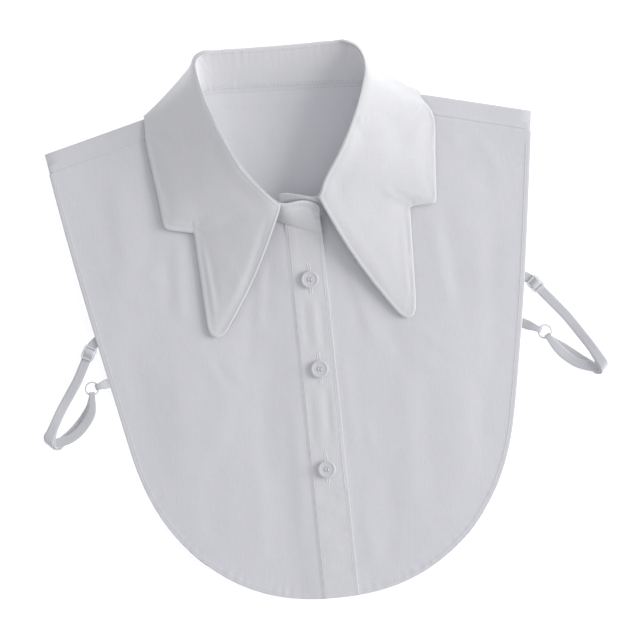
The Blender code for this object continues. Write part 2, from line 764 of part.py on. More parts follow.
def webbing(name, stations, widths, surface):
    """A closed strip along stations of (point, outward direction, line across or None)."""
    points = []
    faces = []
    count = len(stations)
    for i, ((p, radial, ruling), width) in enumerate(zip(stations, widths)):
        before = stations[max(0, i - 1)][0]
        after = stations[min(count - 1, i + 1)][0]
        along = (after - before).normalized()
        across = along.cross(radial).normalized()
        thick = across.cross(along).normalized()
        if thick.dot(radial) < 0:
            thick = -thick
        if ruling:
            across = ruling if ruling.dot(across) > 0 else -ruling
            thick = radial
        for a, b in ((-1, -1), (1, -1), (1, 1), (-1, 1)):
            points.append(tuple(p + across * a * width / 2 + thick * b * WALL / 2))
    for i in range(count - 1):
        a, b = 4 * i, 4 * i + 4
        for k in range(4):
            n = (k + 1) % 4
            faces.append((a + k, a + n, b + n, b + k))
    faces.append((0, 3, 2, 1))
    end = 4 * (count - 1)
    faces.append((end, end + 1, end + 2, end + 3))
    return add(name, points, faces, surface)


def toward(a, b):
    return (Vector(b) - Vector(a)).normalized()


def gathered(count, middle):
    """Widths of webbing that narrows where it passes the ring."""
    out = []
    for i in range(count):
        near = 1 - smooth((abs(i - middle) - 4.5) / 3)
        out.append(mix(STRAP_WIDTH, STRAP_AT_RING, near))
    return out


def strap(side, elastic):
    """One length of webbing: slider, far end, ring, and back beneath itself."""
    s = STRAPS[side]
    root, slider, ring = Vector(s["root"]), Vector(s["slider"]), Vector(s["ring"])
    away = toward(slider, s["upper"][0])
    come = toward(s["upper"][-1], Vector(s["far"]))
    go = toward(Vector(s["far"]), s["lower"][0])
    to_ring = toward(s["lower"][-1], ring)
    turn_plan = ring - to_ring * RING_SEAT
    axis = (come + go).normalized()
    half_slip = math.pi * math.tan(come.angle((come - go).normalized())) / 2
    stations = []
    run_height = FLOOR_LAYER + STRAP_STACK
    for share in (0.0, 0.3):
        stations += flat_run([(*root.lerp(slider, share), run_height)], 1)
    for along, over in OVER_SLIDER:
        p = slider + away * along
        stations += flat_run([(*p, mix(run_height, SLIDER_HUMP, over))], 1)

    def upper(layer):
        radius = FOLD_RADII[layer]
        low = FLOOR_LAYER + (STRAP_STACK if layer == 0 else 0.0)
        high = FLOOR_LAYER + FOLD_RADII[0] + radius
        end = Vector(s["far"]) - axis * half_slip * radius
        line = spread([slider + away * UNDER_SLIDER[0], *s["upper"], end], RUN_STEPS)
        out = []
        for k in range(1, RUN_STEPS):
            height = mix(low, high, smooth((k / RUN_STEPS - RUN_LIFT) / RUN_LIFT))
            out.append((line[k].x, line[k].y, height))
        return out

    def lower(layer):
        radius = FOLD_RADII[layer]
        low = FLOOR_LAYER + FOLD_RADII[0] - radius
        near_ring = RING_HEIGHT + (RING_TURN if layer else -RING_TURN)
        begin = Vector(s["far"]) + axis * half_slip * radius
        line = spread([begin, *s["lower"], turn_plan], RUN_STEPS)
        out = []
        for k in range(1, RUN_STEPS):
            t = k / RUN_STEPS
            p = line[k]
            along = toward(line[k - 1], line[k + 1])
            slip = s["slip"] * math.sin(math.pi * t) * (1 if layer == 0 else 0)
            p = p + Vector((-along.y, along.x)) * slip
            out.append((p.x, p.y, mix(low, near_ring, smooth((t - RUN_LIFT) * 2))))
        return out

    stations += flat_run(upper(0), 1)
    fold_height = FLOOR_LAYER + FOLD_RADII[0]
    stations += turn_back(s["far"], fold_height, come, go, FOLD_RADII[0], False)
    stations += flat_run(lower(0), -1)
    stations += turn_back(turn_plan, RING_HEIGHT, to_ring, -to_ring, RING_TURN, True, 8)
    before_ring = len(stations) - 5
    stations += flat_run(lower(1)[::-1], 1)
    inner = turn_back(s["far"], fold_height, come, go, FOLD_RADII[1], False)
    stations += [(p, -radial, ruling) for p, radial, ruling in reversed(inner)]
    stations += flat_run(upper(1)[::-1], -1)
    for along in UNDER_SLIDER:
        p = slider + away * along
        stations += flat_run([(*p, FLOOR_LAYER)], -1)
    return webbing(f"strap_{side}", stations, gathered(len(stations), before_ring), elastic)


def tab(side, elastic):
    """The short loop that holds the ring to the front's edge."""
    sign = -1 if side == "left" else 1
    y = STRAPS[side]["tab_y"]
    ring = Vector(STRAPS[side]["ring"])
    root = Vector((side_x(sign, y) + sign * (FRONT_OVERHANG + GAP), y))
    to_ring = toward(root, ring)
    turn_plan = ring - to_ring * RING_SEAT
    edge = toward((side_x(sign, y - 1), y - 1), (side_x(sign, y + 1), y + 1))
    ruling = Vector((edge.x, edge.y, 0)) / abs(edge.cross(to_ring))
    line = spread([root, turn_plan], 5)
    layers = []
    for start, turn, outward in zip(TAB_HEIGHTS, (-RING_TURN, RING_TURN), (-1, 1)):
        heights = [mix(start, RING_HEIGHT + turn, smooth(k / 4)) for k in range(5)]
        layer = flat_run([(*p, z) for p, z in zip(line, heights)], outward)
        layer[0] = (layer[0][0], layer[0][1], ruling)
        layers.append(layer)
    stations = layers[0]
    stations += turn_back(turn_plan, RING_HEIGHT, to_ring, -to_ring, RING_TURN, True, 8)
    stations += layers[1][::-1]
    widths = gathered(len(stations), (len(stations) - 1) / 2)
    return webbing(f"strap_tab_{side}", stations, widths, elastic)


def ring_part(side, plastic):
    x, y = STRAPS[side]["ring"]
    round_steps, wire_steps = 28, 8
    points = []
    for i in range(round_steps):
        a = math.tau * i / round_steps
        for j in range(wire_steps):
            b = math.tau * j / wire_steps
            reach = RING_RADIUS + RING_WIRE * math.cos(b)
            points.append((x + reach * math.cos(a), y + reach * math.sin(a),
                           RING_HEIGHT + RING_WIRE * math.sin(b)))
    faces = []
    for i in range(round_steps):
        for j in range(wire_steps):
            n, m = (i + 1) % round_steps, (j + 1) % wire_steps
            faces.append((i * wire_steps + j, n * wire_steps + j, n * wire_steps + m,
                          i * wire_steps + m))
    return add(f"ring_{side}", points, faces, plastic)


def slider_part(side, plastic):
    """A flat frame with two slots and a middle bar, its sides in two lobes."""
    s = STRAPS[side]
    middle = Vector(s["slider"])
    away = toward(middle, s["upper"][0])
    across = Vector((-away.y, away.x))
    half = SLIDER_LENGTH / 2
    slot_far = half - SLIDER_BAR
    slot_near = SLIDER_BAR / 2
    stops = [-half, -slot_far, -(slot_far + slot_near) / 2, -slot_near, slot_near,
             (slot_far + slot_near) / 2, slot_far, half]
    inner = STRAP_WIDTH / 2 + GAP
    nodes = {}
    for i, (along, out) in enumerate(zip(stops, SLIDER_SIDES)):
        outer = SLIDER_WIDTH / 2 + out
        for j, off in enumerate((-outer, -inner, inner, outer)):
            p = middle + away * along + across * off
            nodes[i, j] = Vector((p.x, p.y, SLIDER_BOTTOM + SLIDER_THICK / 2))
    cells = []
    for i in range(len(stops) - 1):
        for j in range(3):
            if j == 1 and i in (1, 2, 4, 5):
                continue
            cells.append(((i, j), (i + 1, j), (i + 1, j + 1), (i, j + 1)))
    return wall(f"slider_{side}", nodes, cells, plastic, SLIDER_THICK)


def build():
    for old in list(bpy.data.objects):
        bpy.data.objects.remove(old, do_unlink=True)
    cloth = material("cotton", CLOTH)
    elastic = material("elastic", ELASTIC)
    plastic = material("plastic", PLASTIC)
    back_panel(cloth)
    front("front_right", -1, CENTRE_EDGE, NECK_OF_RIGHT, right_height, cloth)
    front("front_left", 1, UNDERLAP_EDGE, NECK_OF_LEFT, left_height, cloth)
    placket(cloth)
    stand(cloth)
    leaf(cloth)
    facing(cloth)
    for index, (x, y) in enumerate(BUTTONS, 1):
        button(index, x, y, plastic)
    for side in STRAPS:
        strap(side, elastic)
        tab(side, elastic)
        ring_part(side, plastic)
        slider_part(side, plastic)


build()
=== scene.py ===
# %% [markdown]
# Detachable shirt collar, laid flat
#
# A collar of this kind is the top of a white cotton shirt without its sleeves and body: two
# fronts, a back, a stand, a stepped leaf with long points, three buttons, and a strap of
# elastic at each side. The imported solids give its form. Here each of them gets a finer
# shell, the creases that cotton keeps after it is folded, its sewing and its finish.

# %% The frame
import math

import bmesh
import bpy
import numpy as np
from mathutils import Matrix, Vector
from mathutils.bvhtree import BVHTree


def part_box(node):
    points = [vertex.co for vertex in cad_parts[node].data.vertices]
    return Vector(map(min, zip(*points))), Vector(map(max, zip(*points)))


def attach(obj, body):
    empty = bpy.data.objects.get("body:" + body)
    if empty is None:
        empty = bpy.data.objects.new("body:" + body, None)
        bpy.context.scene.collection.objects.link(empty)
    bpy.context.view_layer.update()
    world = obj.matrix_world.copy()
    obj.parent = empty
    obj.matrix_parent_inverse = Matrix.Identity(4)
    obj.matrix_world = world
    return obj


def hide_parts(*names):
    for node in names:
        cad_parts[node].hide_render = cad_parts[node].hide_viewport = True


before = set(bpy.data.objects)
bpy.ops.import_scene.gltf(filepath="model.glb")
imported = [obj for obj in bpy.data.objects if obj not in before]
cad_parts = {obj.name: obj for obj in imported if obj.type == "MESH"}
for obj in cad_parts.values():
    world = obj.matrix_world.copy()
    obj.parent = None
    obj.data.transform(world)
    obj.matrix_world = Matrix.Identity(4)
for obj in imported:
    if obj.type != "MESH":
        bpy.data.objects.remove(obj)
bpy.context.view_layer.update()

MM = 0.001

# %% [markdown]
# The table and the camera
#
# The picture was taken from straight above, with the garment turned a little to the left.
# Turning the camera the other way gives the same picture and leaves the part square to its
# own axes. A long lens from far off keeps the raised collar from growing towards the eye.
# The table is white and glows a little, as a light table does, so it stays paler than the
# cloth on it.

# %% The table and the camera
PICTURE_WIDTH = 448 * MM  # what the picture shows across, on the table
PICTURE_MIDDLE = (1.6 * MM, -0.9 * MM)
PICTURE_TURN = math.radians(-5.8)
CAMERA_HEIGHT = 6.0
CAMERA_REACH = 100.0
SENSOR = 36.0
TABLE_SIZE = 8.0
TABLE_GAP = 0.3 * MM  # between the table and the cloth on it


def table_top():
    bpy.ops.mesh.primitive_plane_add(size=TABLE_SIZE, location=(0, 0, -TABLE_GAP))
    top = bpy.context.object
    top.name = "table_top"
    return top


def camera():
    seen = bpy.data.cameras.new("camera")
    seen.sensor_width = SENSOR
    seen.lens = SENSOR * CAMERA_HEIGHT / PICTURE_WIDTH
    seen.clip_end = CAMERA_REACH
    holder = bpy.data.objects.new("camera", seen)
    holder.location = (*PICTURE_MIDDLE, CAMERA_HEIGHT)
    holder.rotation_euler = (0, 0, PICTURE_TURN)
    bpy.context.scene.collection.objects.link(holder)
    bpy.context.scene.camera = holder


table = table_top()
camera()
print(f"the picture shows {PICTURE_WIDTH / MM:.0f} mm of the table")

# %% [markdown]
# Soft studio light
#
# The left leaf is grey and the right one bright, and the neck lies in shadow, so the main
# light stands low on the right. The rest comes from all around. A large area light gives
# the soft shadows under the leaf's edges, and the plain view transform keeps white white.

# %% Soft studio light
KEY_PLACE = (3.65, 0.13, 1.63)
KEY_SIZE = 2.2
KEY_POWER = 104.0
KEY_COLOUR = (1.0, 1.0, 0.985)
SKY_COLOUR = (0.95, 0.955, 1.0)
SKY_STRENGTH = 0.54


def lights():
    lamp = bpy.data.lights.new("key", "AREA")
    lamp.size = KEY_SIZE
    lamp.energy = KEY_POWER
    lamp.color = KEY_COLOUR
    holder = bpy.data.objects.new("key", lamp)
    holder.location = KEY_PLACE
    holder.rotation_euler = (-Vector(KEY_PLACE)).to_track_quat("-Z", "Y").to_euler()
    bpy.context.scene.collection.objects.link(holder)
    sky = bpy.data.worlds.new("studio")
    sky.use_nodes = True
    sky.node_tree.nodes["Background"].inputs["Color"].default_value = (*SKY_COLOUR, 1)
    sky.node_tree.nodes["Background"].inputs["Strength"].default_value = SKY_STRENGTH
    bpy.context.scene.world = sky
    bpy.context.scene.view_settings.view_transform = "Standard"


lights()
print("lights:", [lamp.name for lamp in bpy.data.lights], "and the sky")

# %% [markdown]
# The maker's table of places
#
# Creases, stitches and buttonholes are placed as on a cutting table: in millimetres, X to
# the viewer's right and Y up from the shoulder line. The part's own origin lies elsewhere,
# so two small helpers turn one into the other.

# %% The maker's table of places
TABLE_ORIGIN = (4.64, -131.9)  # the part's origin in these millimetres
DOWN = Vector((0, 0, -1))
OVERHEAD = 60  # a height above everything, from which rays are sent down


def smooth(t):
    t = np.clip(t, 0.0, 1.0)
    return t * t * (3 - 2 * t)


def to_table(places):
    """Columns X, Y and Z in millimetres, from an array of places in metres."""
    return (places[:, 0] / MM + TABLE_ORIGIN[0], places[:, 1] / MM + TABLE_ORIGIN[1],
            places[:, 2] / MM)


def to_part(x, y, z=0.0):
    return Vector(((x - TABLE_ORIGIN[0]) * MM, (y - TABLE_ORIGIN[1]) * MM, z * MM))


def surface_at(tree, x, y):
    """The highest place of a search tree's faces at X and Y, or None."""
    return tree.ray_cast(to_part(x, y, OVERHEAD), DOWN)[0]


def places_of(made):
    places = np.empty(len(made.data.vertices) * 3)
    made.data.vertices.foreach_get("co", places)
    return places.reshape(-1, 3)


def put_places(made, places):
    made.data.vertices.foreach_set("co", places.ravel())
    made.data.update()


print("the table's zero in the part, in metres:", [round(v, 4) for v in to_part(0, 0)])

# %% [markdown]
# Finer shells with rounded edges
#
# A solid is a wall of flat faces. Its triangles are joined back into four-sided cells, its
# two large sides are told apart by walking over the faces without crossing an edge of the
# rim, and subdivision rounds the rest. A value of +1 on one side and -1 on the other is
# shared out over the rim by the same subdivision, so the rim can be bent into the half
# round that a turned edge of cloth has.

# %% The two sides of a wall
RIM_ANGLE = math.radians(60)  # edges sharper than this part a side from the rim
rim_loops = {}


def two_sides(shape):
    """The faces of the wall's two large sides."""
    left = set(shape.faces)
    groups = []
    while left:
        ahead = [left.pop()]
        group = []
        while ahead:
            face = ahead.pop()
            group.append(face)
            for edge in face.edges:
                if edge.calc_face_angle(math.pi) > RIM_ANGLE:
                    continue
                for other in edge.link_faces:
                    if other in left:
                        left.remove(other)
                        ahead.append(other)
        groups.append(group)
    groups.sort(key=lambda group: -math.fsum(face.calc_area() for face in group))
    return groups[0], groups[1]


def loop_of(faces):
    """The border of a group of faces, in order, as table places."""
    inside = set(faces)
    ahead = {}
    for face in faces:
        for corner in face.loops:
            other = corner.link_loop_radial_next.face
            if other not in inside:
                ahead[corner.vert] = corner.link_loop_next.vert
    start = point = min(ahead, key=lambda vert: tuple(vert.co))
    out = []
    while True:
        out.append(point.co.copy())
        point = ahead.get(point)
        if point is None or point == start:
            break
    x, y, _ = to_table(np.array(out))
    return np.stack([x, y], 1)


print("a rim's edges are sharper than", round(math.degrees(RIM_ANGLE)), "degrees")

# %% A half-round rim
RIM_ROUND = 0.42 * MM
ON_SIDE = 0.99  # a place with a greater value lies on one of the two sides


def applied(made):
    """Turns what the modifiers make into the object's own mesh."""
    bpy.context.view_layer.update()
    seen = made.evaluated_get(bpy.context.evaluated_depsgraph_get())
    mesh = bpy.data.meshes.new_from_object(seen)
    made.modifiers.clear()
    made.data = mesh
    mesh.shade_smooth()
    return made


def sides_of(made):
    value = np.empty(len(made.data.vertices))
    made.data.attributes["side"].data.foreach_get("value", value)
    return value


def round_rim(made):
    """Bends the rim of a wall into a half round."""
    mesh = made.data
    value = sides_of(made)
    places = places_of(made)
    outward = np.zeros_like(places)
    for face in mesh.polygons:
        corners = list(face.vertices)
        if min(abs(value[i]) for i in corners) < ON_SIDE:
            outward[corners] += np.array(face.normal)
    length = np.linalg.norm(outward, axis=1)
    on_rim = length > 0
    outward[on_rim] /= length[on_rim, None]
    inset = 1 - np.sqrt(np.clip(1 - value ** 2, 0, 1))
    places[on_rim] -= outward[on_rim] * (inset[on_rim] * RIM_ROUND)[:, None]
    put_places(made, places)


print(f"a rim is rounded by {RIM_ROUND / MM} mm")

# %% Finer shells
WELD = 0.01 * MM  # corners closer than this are one
CELL_FLAT = math.radians(35)  # triangles that meet flatter than this may share a cell
CELL_SHAPE = math.radians(60)


def shell(name, levels):
    """A finer copy of a solid, which stands for it."""
    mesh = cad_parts[name].data.copy()
    shape = bmesh.new()
    shape.from_mesh(mesh)
    bmesh.ops.remove_doubles(shape, verts=shape.verts, dist=WELD)
    bmesh.ops.join_triangles(shape, faces=shape.faces, angle_face_threshold=CELL_FLAT,
                             angle_shape_threshold=CELL_SHAPE)
    sharp = shape.edges.layers.float.new("crease_edge")
    side = shape.verts.layers.float.new("side")
    if not name.startswith("ring"):
        upper, lower = two_sides(shape)
        rim_loops[name] = loop_of(upper)
        for value, faces in ((1.0, upper), (-1.0, lower)):
            for face in faces:
                for vert in face.verts:
                    vert[side] = value
    for edge in shape.edges:
        if edge.calc_face_angle(0) > RIM_ANGLE:
            edge[sharp] = 1.0
    shape.to_mesh(mesh)
    shape.free()
    made = bpy.data.objects.new(f"cloth_{name}", mesh)
    bpy.context.scene.collection.objects.link(made)
    mesh.materials.clear()
    finer = made.modifiers.new("finer", "SUBSURF")
    finer.levels = finer.render_levels = levels
    applied(made)
    if not name.startswith("ring"):
        round_rim(made)
    return made


LEVELS = {
    "back_panel": 2, "front_right": 3, "front_left": 3, "placket": 3, "collar_stand": 3,
    "collar_leaf": 3, "neck_facing": 3, "strap_left": 2, "strap_right": 2,
    "strap_tab_left": 2, "strap_tab_right": 2, "ring_left": 1, "ring_right": 1,
}  # how often each is subdivided
shells = {}
for name, levels in LEVELS.items():
    shells[name] = shell(name, levels)
    print(f"{name}: {len(shells[name].data.polygons)} faces")

# %% [markdown]
# How a crease is drawn
#
# Pressed cotton that has been folded away keeps long soft ridges and troughs, none of them
# alike. Each is a line from one place to another with a bow, a width and a height, and it
# fades at both ends. A hill is added to the height of the cloth on both of its sides, so
# the wall keeps its thickness.

# %% How a crease is drawn
CREASE_FADE = 0.3  # share of a crease's length over which it comes and goes


def creases(x, y, table):
    """Height of the cloth in millimetres where the lines of the table pass."""
    height = np.zeros_like(x)
    for x0, y0, x1, y1, bow, width, rise in table:
        length = math.hypot(x1 - x0, y1 - y0)
        along_x, along_y = (x1 - x0) / length, (y1 - y0) / length
        share = ((x - x0) * along_x + (y - y0) * along_y) / length
        off = (x - x0) * -along_y + (y - y0) * along_x - 4 * bow * share * (1 - share)
        fade = smooth(share / CREASE_FADE) * smooth((1 - share) / CREASE_FADE)
        height += rise * np.exp(-(off / width) ** 2 / 2) * fade
    return height


def ridge(gap, inside, width, rise):
    """A low ridge beside a line, at a distance inside it; a trough where rise is negative."""
    return rise * np.exp(-((gap - inside) / width) ** 2)


def swell(gap, reach, rise):
    """A rise that is highest on a line and sinks away from it."""
    return rise * np.exp(-gap / reach)


def line_distance(x, y, points):
    """Distance to a line of points, and how far along it the nearest place lies."""
    best = np.full(x.shape, np.inf)
    along = np.zeros_like(x)
    done = 0.0
    for (ax, ay), (bx, by) in zip(points[:-1], points[1:]):
        length = math.hypot(bx - ax, by - ay)
        if length < 1e-6:
            continue
        share = np.clip(((x - ax) * (bx - ax) + (y - ay) * (by - ay)) / length ** 2, 0, 1)
        gap = np.hypot(x - ax - share * (bx - ax), y - ay - share * (by - ay))
        nearer = gap < best
        best[nearer] = gap[nearer]
        along[nearer] = done + share[nearer] * length
        done += length
    return best, along


def puckers(gap, along, reach, pitch, rise):
    """Small ripples across a row of stitches, which fade away from it."""
    wave = np.sin(along * math.tau / pitch + 0.9 * np.sin(along * math.tau / (pitch * 3.7)))
    strength = 0.55 + 0.45 * np.sin(along * math.tau / (pitch * 5.3) + 1.0)
    return rise * wave * strength * np.exp(-gap / reach)


def run_of(name, keep):
    """The longest unbroken run of a piece's border for which keep(x, y) holds."""
    points = rim_loops[name]
    good = np.array([keep(x, y) for x, y in points])
    start = int(np.argmin(good))
    points, good = np.roll(points, -start, 0), np.roll(good, -start)
    best, run = [], []
    for point, use in zip(points, good):
        run = run + [point] if use else []
        if len(run) > len(best):
            best = run
    return np.array(best)


middle = creases(np.array([0.0]), np.array([-50.0]), ((0, 0, 0, -100, 0, 3.0, 0.5),))
print("a crease of 0.5 mm is this high half way along:", middle.round(2))

# %% [markdown]
# Creases of the two fronts
#
# The fronts lie almost flat. Long shallow folds hang from the collar's points, others fan
# out from the neck, and a few slanting ones cross the chest. The fronts' lower layers get
# the same heights as the placket above them, so nothing cuts through. Close to the edges
# the folds end, because the hem holds the cloth down.

# %% Creases of the two fronts
FRONT_CREASES = (
    (-85, -60, -89, -132, -2, 3.2, 0.55),
    (-97, -58, -101, -128, 2, 3.6, -0.40),
    (-106, 0, -113, -98, 5, 5.0, -0.50),
    (-122, -8, -124, -112, -5, 6.5, 0.60),
    (-140, -18, -136, -96, 3, 5.0, -0.40),
    (-150, -40, -138, -150, 6, 7.0, 0.35),
    (-128, -120, -118, -236, -6, 8.0, -0.45),
    (-29, -84, -42, -142, 3, 3.2, 0.50),
    (-22, -82, -31, -134, -2, 2.6, -0.40),
    (-36, -100, -53, -168, 3, 4.2, -0.40),
    (-58, -142, -86, -226, 7, 7.0, 0.50),
    (-30, -150, -40, -262, -5, 5.5, -0.40),
    (-20, -176, -24, -300, 3, 3.5, 0.38),
    (-98, -150, -108, -246, 5, 7.5, 0.45),
    (-70, -206, -82, -294, -5, 6.5, -0.40),
    (-48, -220, -54, -308, 3, 5.5, 0.38),
    (-80, -146, -66, -182, 2, 3.0, 0.26),
    (-72, -150, -52, -178, -2, 2.6, -0.24),
    (-100, -136, -86, -160, 2, 3.4, -0.22),
    (-112, -84, -96, -104, -2, 3.2, 0.20),
    (106, -8, 128, -52, 4, 3.6, 0.42),
    (115, -10, 139, -60, -4, 3.6, -0.42),
    (124, -12, 146, -58, 3, 3.2, 0.34),
    (90, -64, 96, -142, 2, 4.2, 0.42),
    (103, -44, 106, -138, -3, 4.6, -0.40),
    (118, -64, 114, -168, 5, 6.0, 0.45),
    (134, -70, 127, -178, -4, 6.0, -0.38),
    (146, -60, 138, -128, 3, 4.2, 0.30),
    (22, -84, 33, -150, 3, 3.4, -0.38),
    (30, -92, 48, -160, -3, 3.8, 0.46),
    (44, -118, 62, -176, 3, 4.6, -0.38),
    (20, -150, 24, -236, -2, 3.2, 0.36),
    (29, -204, 35, -236, 2, 2.6, 0.16),
    (33, -201, 39, -228, 2, 2.2, -0.12),
    (60, -158, 54, -290, 6, 7.0, 0.46),
    (80, -168, 72, -276, -5, 7.0, -0.44),
    (100, -172, 90, -272, 5, 7.5, 0.42),
    (120, -176, 112, -240, -4, 6.0, -0.36),
    (40, -232, 37, -312, 3, 5.0, -0.36),
    (66, -142, 88, -160, 2, 3.0, 0.24),
    (72, -150, 96, -172, -2, 3.0, -0.22),
    (24, -262, 30, -312, -2, 3.6, 0.32),
)
PLACKET_CREASES = (
    (2.4, -113, 1.8, -158, 0, 1.8, 0.42),
    (7.2, -112, 6.6, -160, 0.6, 1.6, -0.34),
    (-3.6, -114, -3.2, -156, -0.6, 1.6, -0.28),
    (-0.8, -176, -1.8, -230, 0.8, 2.4, 0.42),
    (5.2, -175, 4.6, -218, 0.5, 1.7, -0.38),
    (9.5, -180, 9.0, -232, 0, 1.7, 0.26),
    (-6.0, -178, -6.4, -226, -0.5, 1.5, -0.26),
    (-8.5, -254, 8.5, -259, 1, 2.6, -0.34),
    (-7.5, -266, 10.5, -268, 1, 2.6, 0.28),
    (-5.0, -280, 12.0, -277, -1, 2.4, -0.30),
    (-9.0, -292, 7.0, -296, 1, 2.6, 0.30),
    (-4.0, -304, 12.0, -306, -1, 2.4, -0.26),
    (-3.0, -74, -4.0, -93, 0.5, 2.2, -0.24),
    (6.0, -78, 6.0, -94, -0.5, 2.0, 0.24),
)
print("creases:", len(FRONT_CREASES), "on the fronts,", len(PLACKET_CREASES), "on the placket")

# %% [markdown]
# Hems
#
# The armholes and the lower edge have a narrow hem, turned twice and stitched. It is a little
# thicker than the cloth beside it, the row of stitches lies in a shallow groove, and the
# thread draws the cloth into small ripples. The border of each panel comes from its solid,
# and the part of it that is hemmed is told apart by its place.

# %% Hems
HEM_WIDTH = 3.2
HEM_RISE = 0.16
HEM_SOFT = 1.3  # the width over which the hem's thickness ends
STITCH_SINK = 0.10
STITCH_WIDE = 0.6
HEM_PUCKERS = (3.2, 7.3, 0.17)  # reach, pitch and height of ripples, here and below
HEM_TOP, HEM_SLOPE = -20, 12  # the hem starts below this at the armhole, lower inwards
HALF_WIDTH = 170
CENTRE_EDGE = 18  # nearer the middle than this is a front's centre edge
NECK_Y, NECK_X = -75, 145  # above and within these the border is the neck's or the shoulder's


def body_hem(name, sign):
    """The armhole edge and the hem of a panel."""
    return run_of(name, lambda x, y: y < HEM_TOP - HEM_SLOPE * (1 - abs(x) / HALF_WIDTH)
                  and abs(x) > CENTRE_EDGE and (sign * x > 0 or sign == 0)
                  and (y < NECK_Y or abs(x) > NECK_X))


def hem_height(gap, along):
    height = HEM_RISE * (1 - smooth((gap - HEM_WIDTH) / HEM_SOFT))
    height += ridge(gap, HEM_WIDTH, STITCH_WIDE, -STITCH_SINK)
    return height + puckers(abs(gap - HEM_WIDTH), along, *HEM_PUCKERS) * smooth(gap / 2.0)


hems = {name: body_hem(name, sign)
        for name, sign in (("front_right", -1), ("front_left", 1), ("back_panel", 0))}
for name, hem in hems.items():
    print(f"hem of {name}: {len(hem)} places, from {hem[0].round()} to {hem[-1].round()}")

# %% The fronts and the placket are raised
FRONT_CALM = 0.8
PLACKET_CALM = 0.65  # the placket is stiffened, so its creases stay low
BUTTONS = ((2.0, -103.9), (2.5, -166.9), (0.4, -237.1))
BUTTON_CALM = (7.5, 6.0)  # no crease within this of a button's middle, and how it comes back
EDGE_CALM = (5.0, 20.0)  # the same from the hem
BAND = (-16, 18.5)  # the placket's creases fade out between these and 5 mm inside them
BAND_FADE = 5
PLACKET_EDGES = (-12.0, 14.2)
PLACKET_ROWS = (-9.5, 11.8)
PLACKET_SINK = 0.20
PLACKET_PITCHES = (8.3, 7.1)
ROW_SHIFT = 20  # keeps the ripples of the two rows apart
DISH_DEPTH, DISH_EDGE = 0.12, 1.5  # between its rows the placket lies a little lower
SHOULDER_SEAMS = (((-169.8, -13.0), (-70, 12.0)), ((164.6, -16.2), (66, 10.2)))
SEAM_RIDGE = (1.8, 0.9, 0.10)  # how far below the seam, its width and its height
SEAM_PUCKERS = (3.0, 8.1, 0.12)


def front_height(x, y, hem):
    """What the creases, hem and sewing add to a front's height, in millimetres."""
    gap, along = line_distance(x, y, hem)
    calm = smooth((gap - EDGE_CALM[0]) / EDGE_CALM[1])
    height = FRONT_CALM * creases(x, y, FRONT_CREASES) * calm
    return height + hem_height(gap, along) + placket_height(x, y)


def placket_height(x, y):
    """The part of the height that a front shares with the placket on it."""
    on_band = smooth((x - BAND[0]) / BAND_FADE) * smooth((BAND[1] - x) / BAND_FADE)
    height = PLACKET_CALM * creases(x, y, PLACKET_CREASES) * on_band
    for bx, by in BUTTONS:
        away = np.hypot(x - bx, y - by)
        height *= smooth((away - BUTTON_CALM[0]) / BUTTON_CALM[1])
    return height


def placket_top(x, y):
    """What only the placket has: its two rows of stitches and the ripples beside them."""
    height = np.zeros_like(x)
    for row, pitch in zip(PLACKET_ROWS, PLACKET_PITCHES):
        gap = abs(x - row)
        height += ridge(gap, 0.0, STITCH_WIDE, -PLACKET_SINK)
        height += puckers(gap, -y + ROW_SHIFT * (row > 0), 2.2, pitch, 0.16)
    inner = np.minimum(x - PLACKET_ROWS[0], PLACKET_ROWS[1] - x)
    return height - DISH_DEPTH * smooth(inner / DISH_EDGE)


def seam_ridge(x, y):
    """A faint ridge and ripples just below the forward shoulder seams."""
    height = np.zeros_like(x)
    for seam in SHOULDER_SEAMS:
        gap, along = line_distance(x, y, seam)
        height += ridge(gap, *SEAM_RIDGE) + puckers(gap, along, *SEAM_PUCKERS)
    return height


def lift(name, rise):
    """Adds rise(x, y), in millimetres, to the height of a shell's places."""
    made = shells[name]
    places = places_of(made)
    x, y, _ = to_table(places)
    added = rise(x, y)
    places[:, 2] += added * MM
    put_places(made, places)
    print(f"{name}: raised by {added.min():.2f} to {added.max():.2f} mm")


for name in ("front_right", "front_left"):
    lift(name, lambda x, y, hem=hems[name]: front_height(x, y, hem) + seam_ridge(x, y))
lift("placket", lambda x, y: front_height(x, y, hems["front_right"]) + placket_top(x, y))

# %% [markdown]
# Creases of the back
#
# The back shows through the neck and from below. Its folds rise towards the front only,
# into the room that the fronts leave, so the side that rests on the table stays down. The
# hem is turned as on the fronts.

# %% Creases of the back
BACK_CREASES = (
    (-34, 14, -20, -46, 3, 5.0, 0.50),
    (-10, 16, -4, -40, -2, 4.5, 0.30),
    (18, 14, 10, -48, 3, 5.0, 0.48),
    (40, 8, 26, -34, -3, 4.0, 0.32),
    (-90, -60, -96, -190, 5, 7.0, 0.45),
    (-60, -110, -70, -240, -5, 8.0, 0.55),
    (-30, -80, -36, -200, 4, 6.5, 0.45),
    (4, -90, 0, -260, -4, 7.5, 0.50),
    (36, -100, 44, -220, 4, 7.0, 0.48),
    (70, -90, 64, -230, -5, 8.0, 0.52),
    (100, -60, 92, -170, 4, 7.0, 0.42),
    (-40, -230, -30, -300, 3, 6.0, 0.40),
    (40, -236, 34, -300, -3, 6.0, 0.40),
)
BACK_CALM = (14, 26)  # no crease within this of the hem, and how it comes back
YOKE_RIDGE = (1.9, 1.3, 0.30)  # how far above the forward seam, its width and its height


def back_rise(x, y):
    gap, _ = line_distance(x, y, hems["back_panel"])
    height = creases(x, y, BACK_CREASES) * smooth((gap - BACK_CALM[0]) / BACK_CALM[1])
    for seam in SHOULDER_SEAMS:
        gap, _ = line_distance(x, y, seam)
        height += ridge(gap, *YOKE_RIDGE)
    return height


lift("back_panel", back_rise)

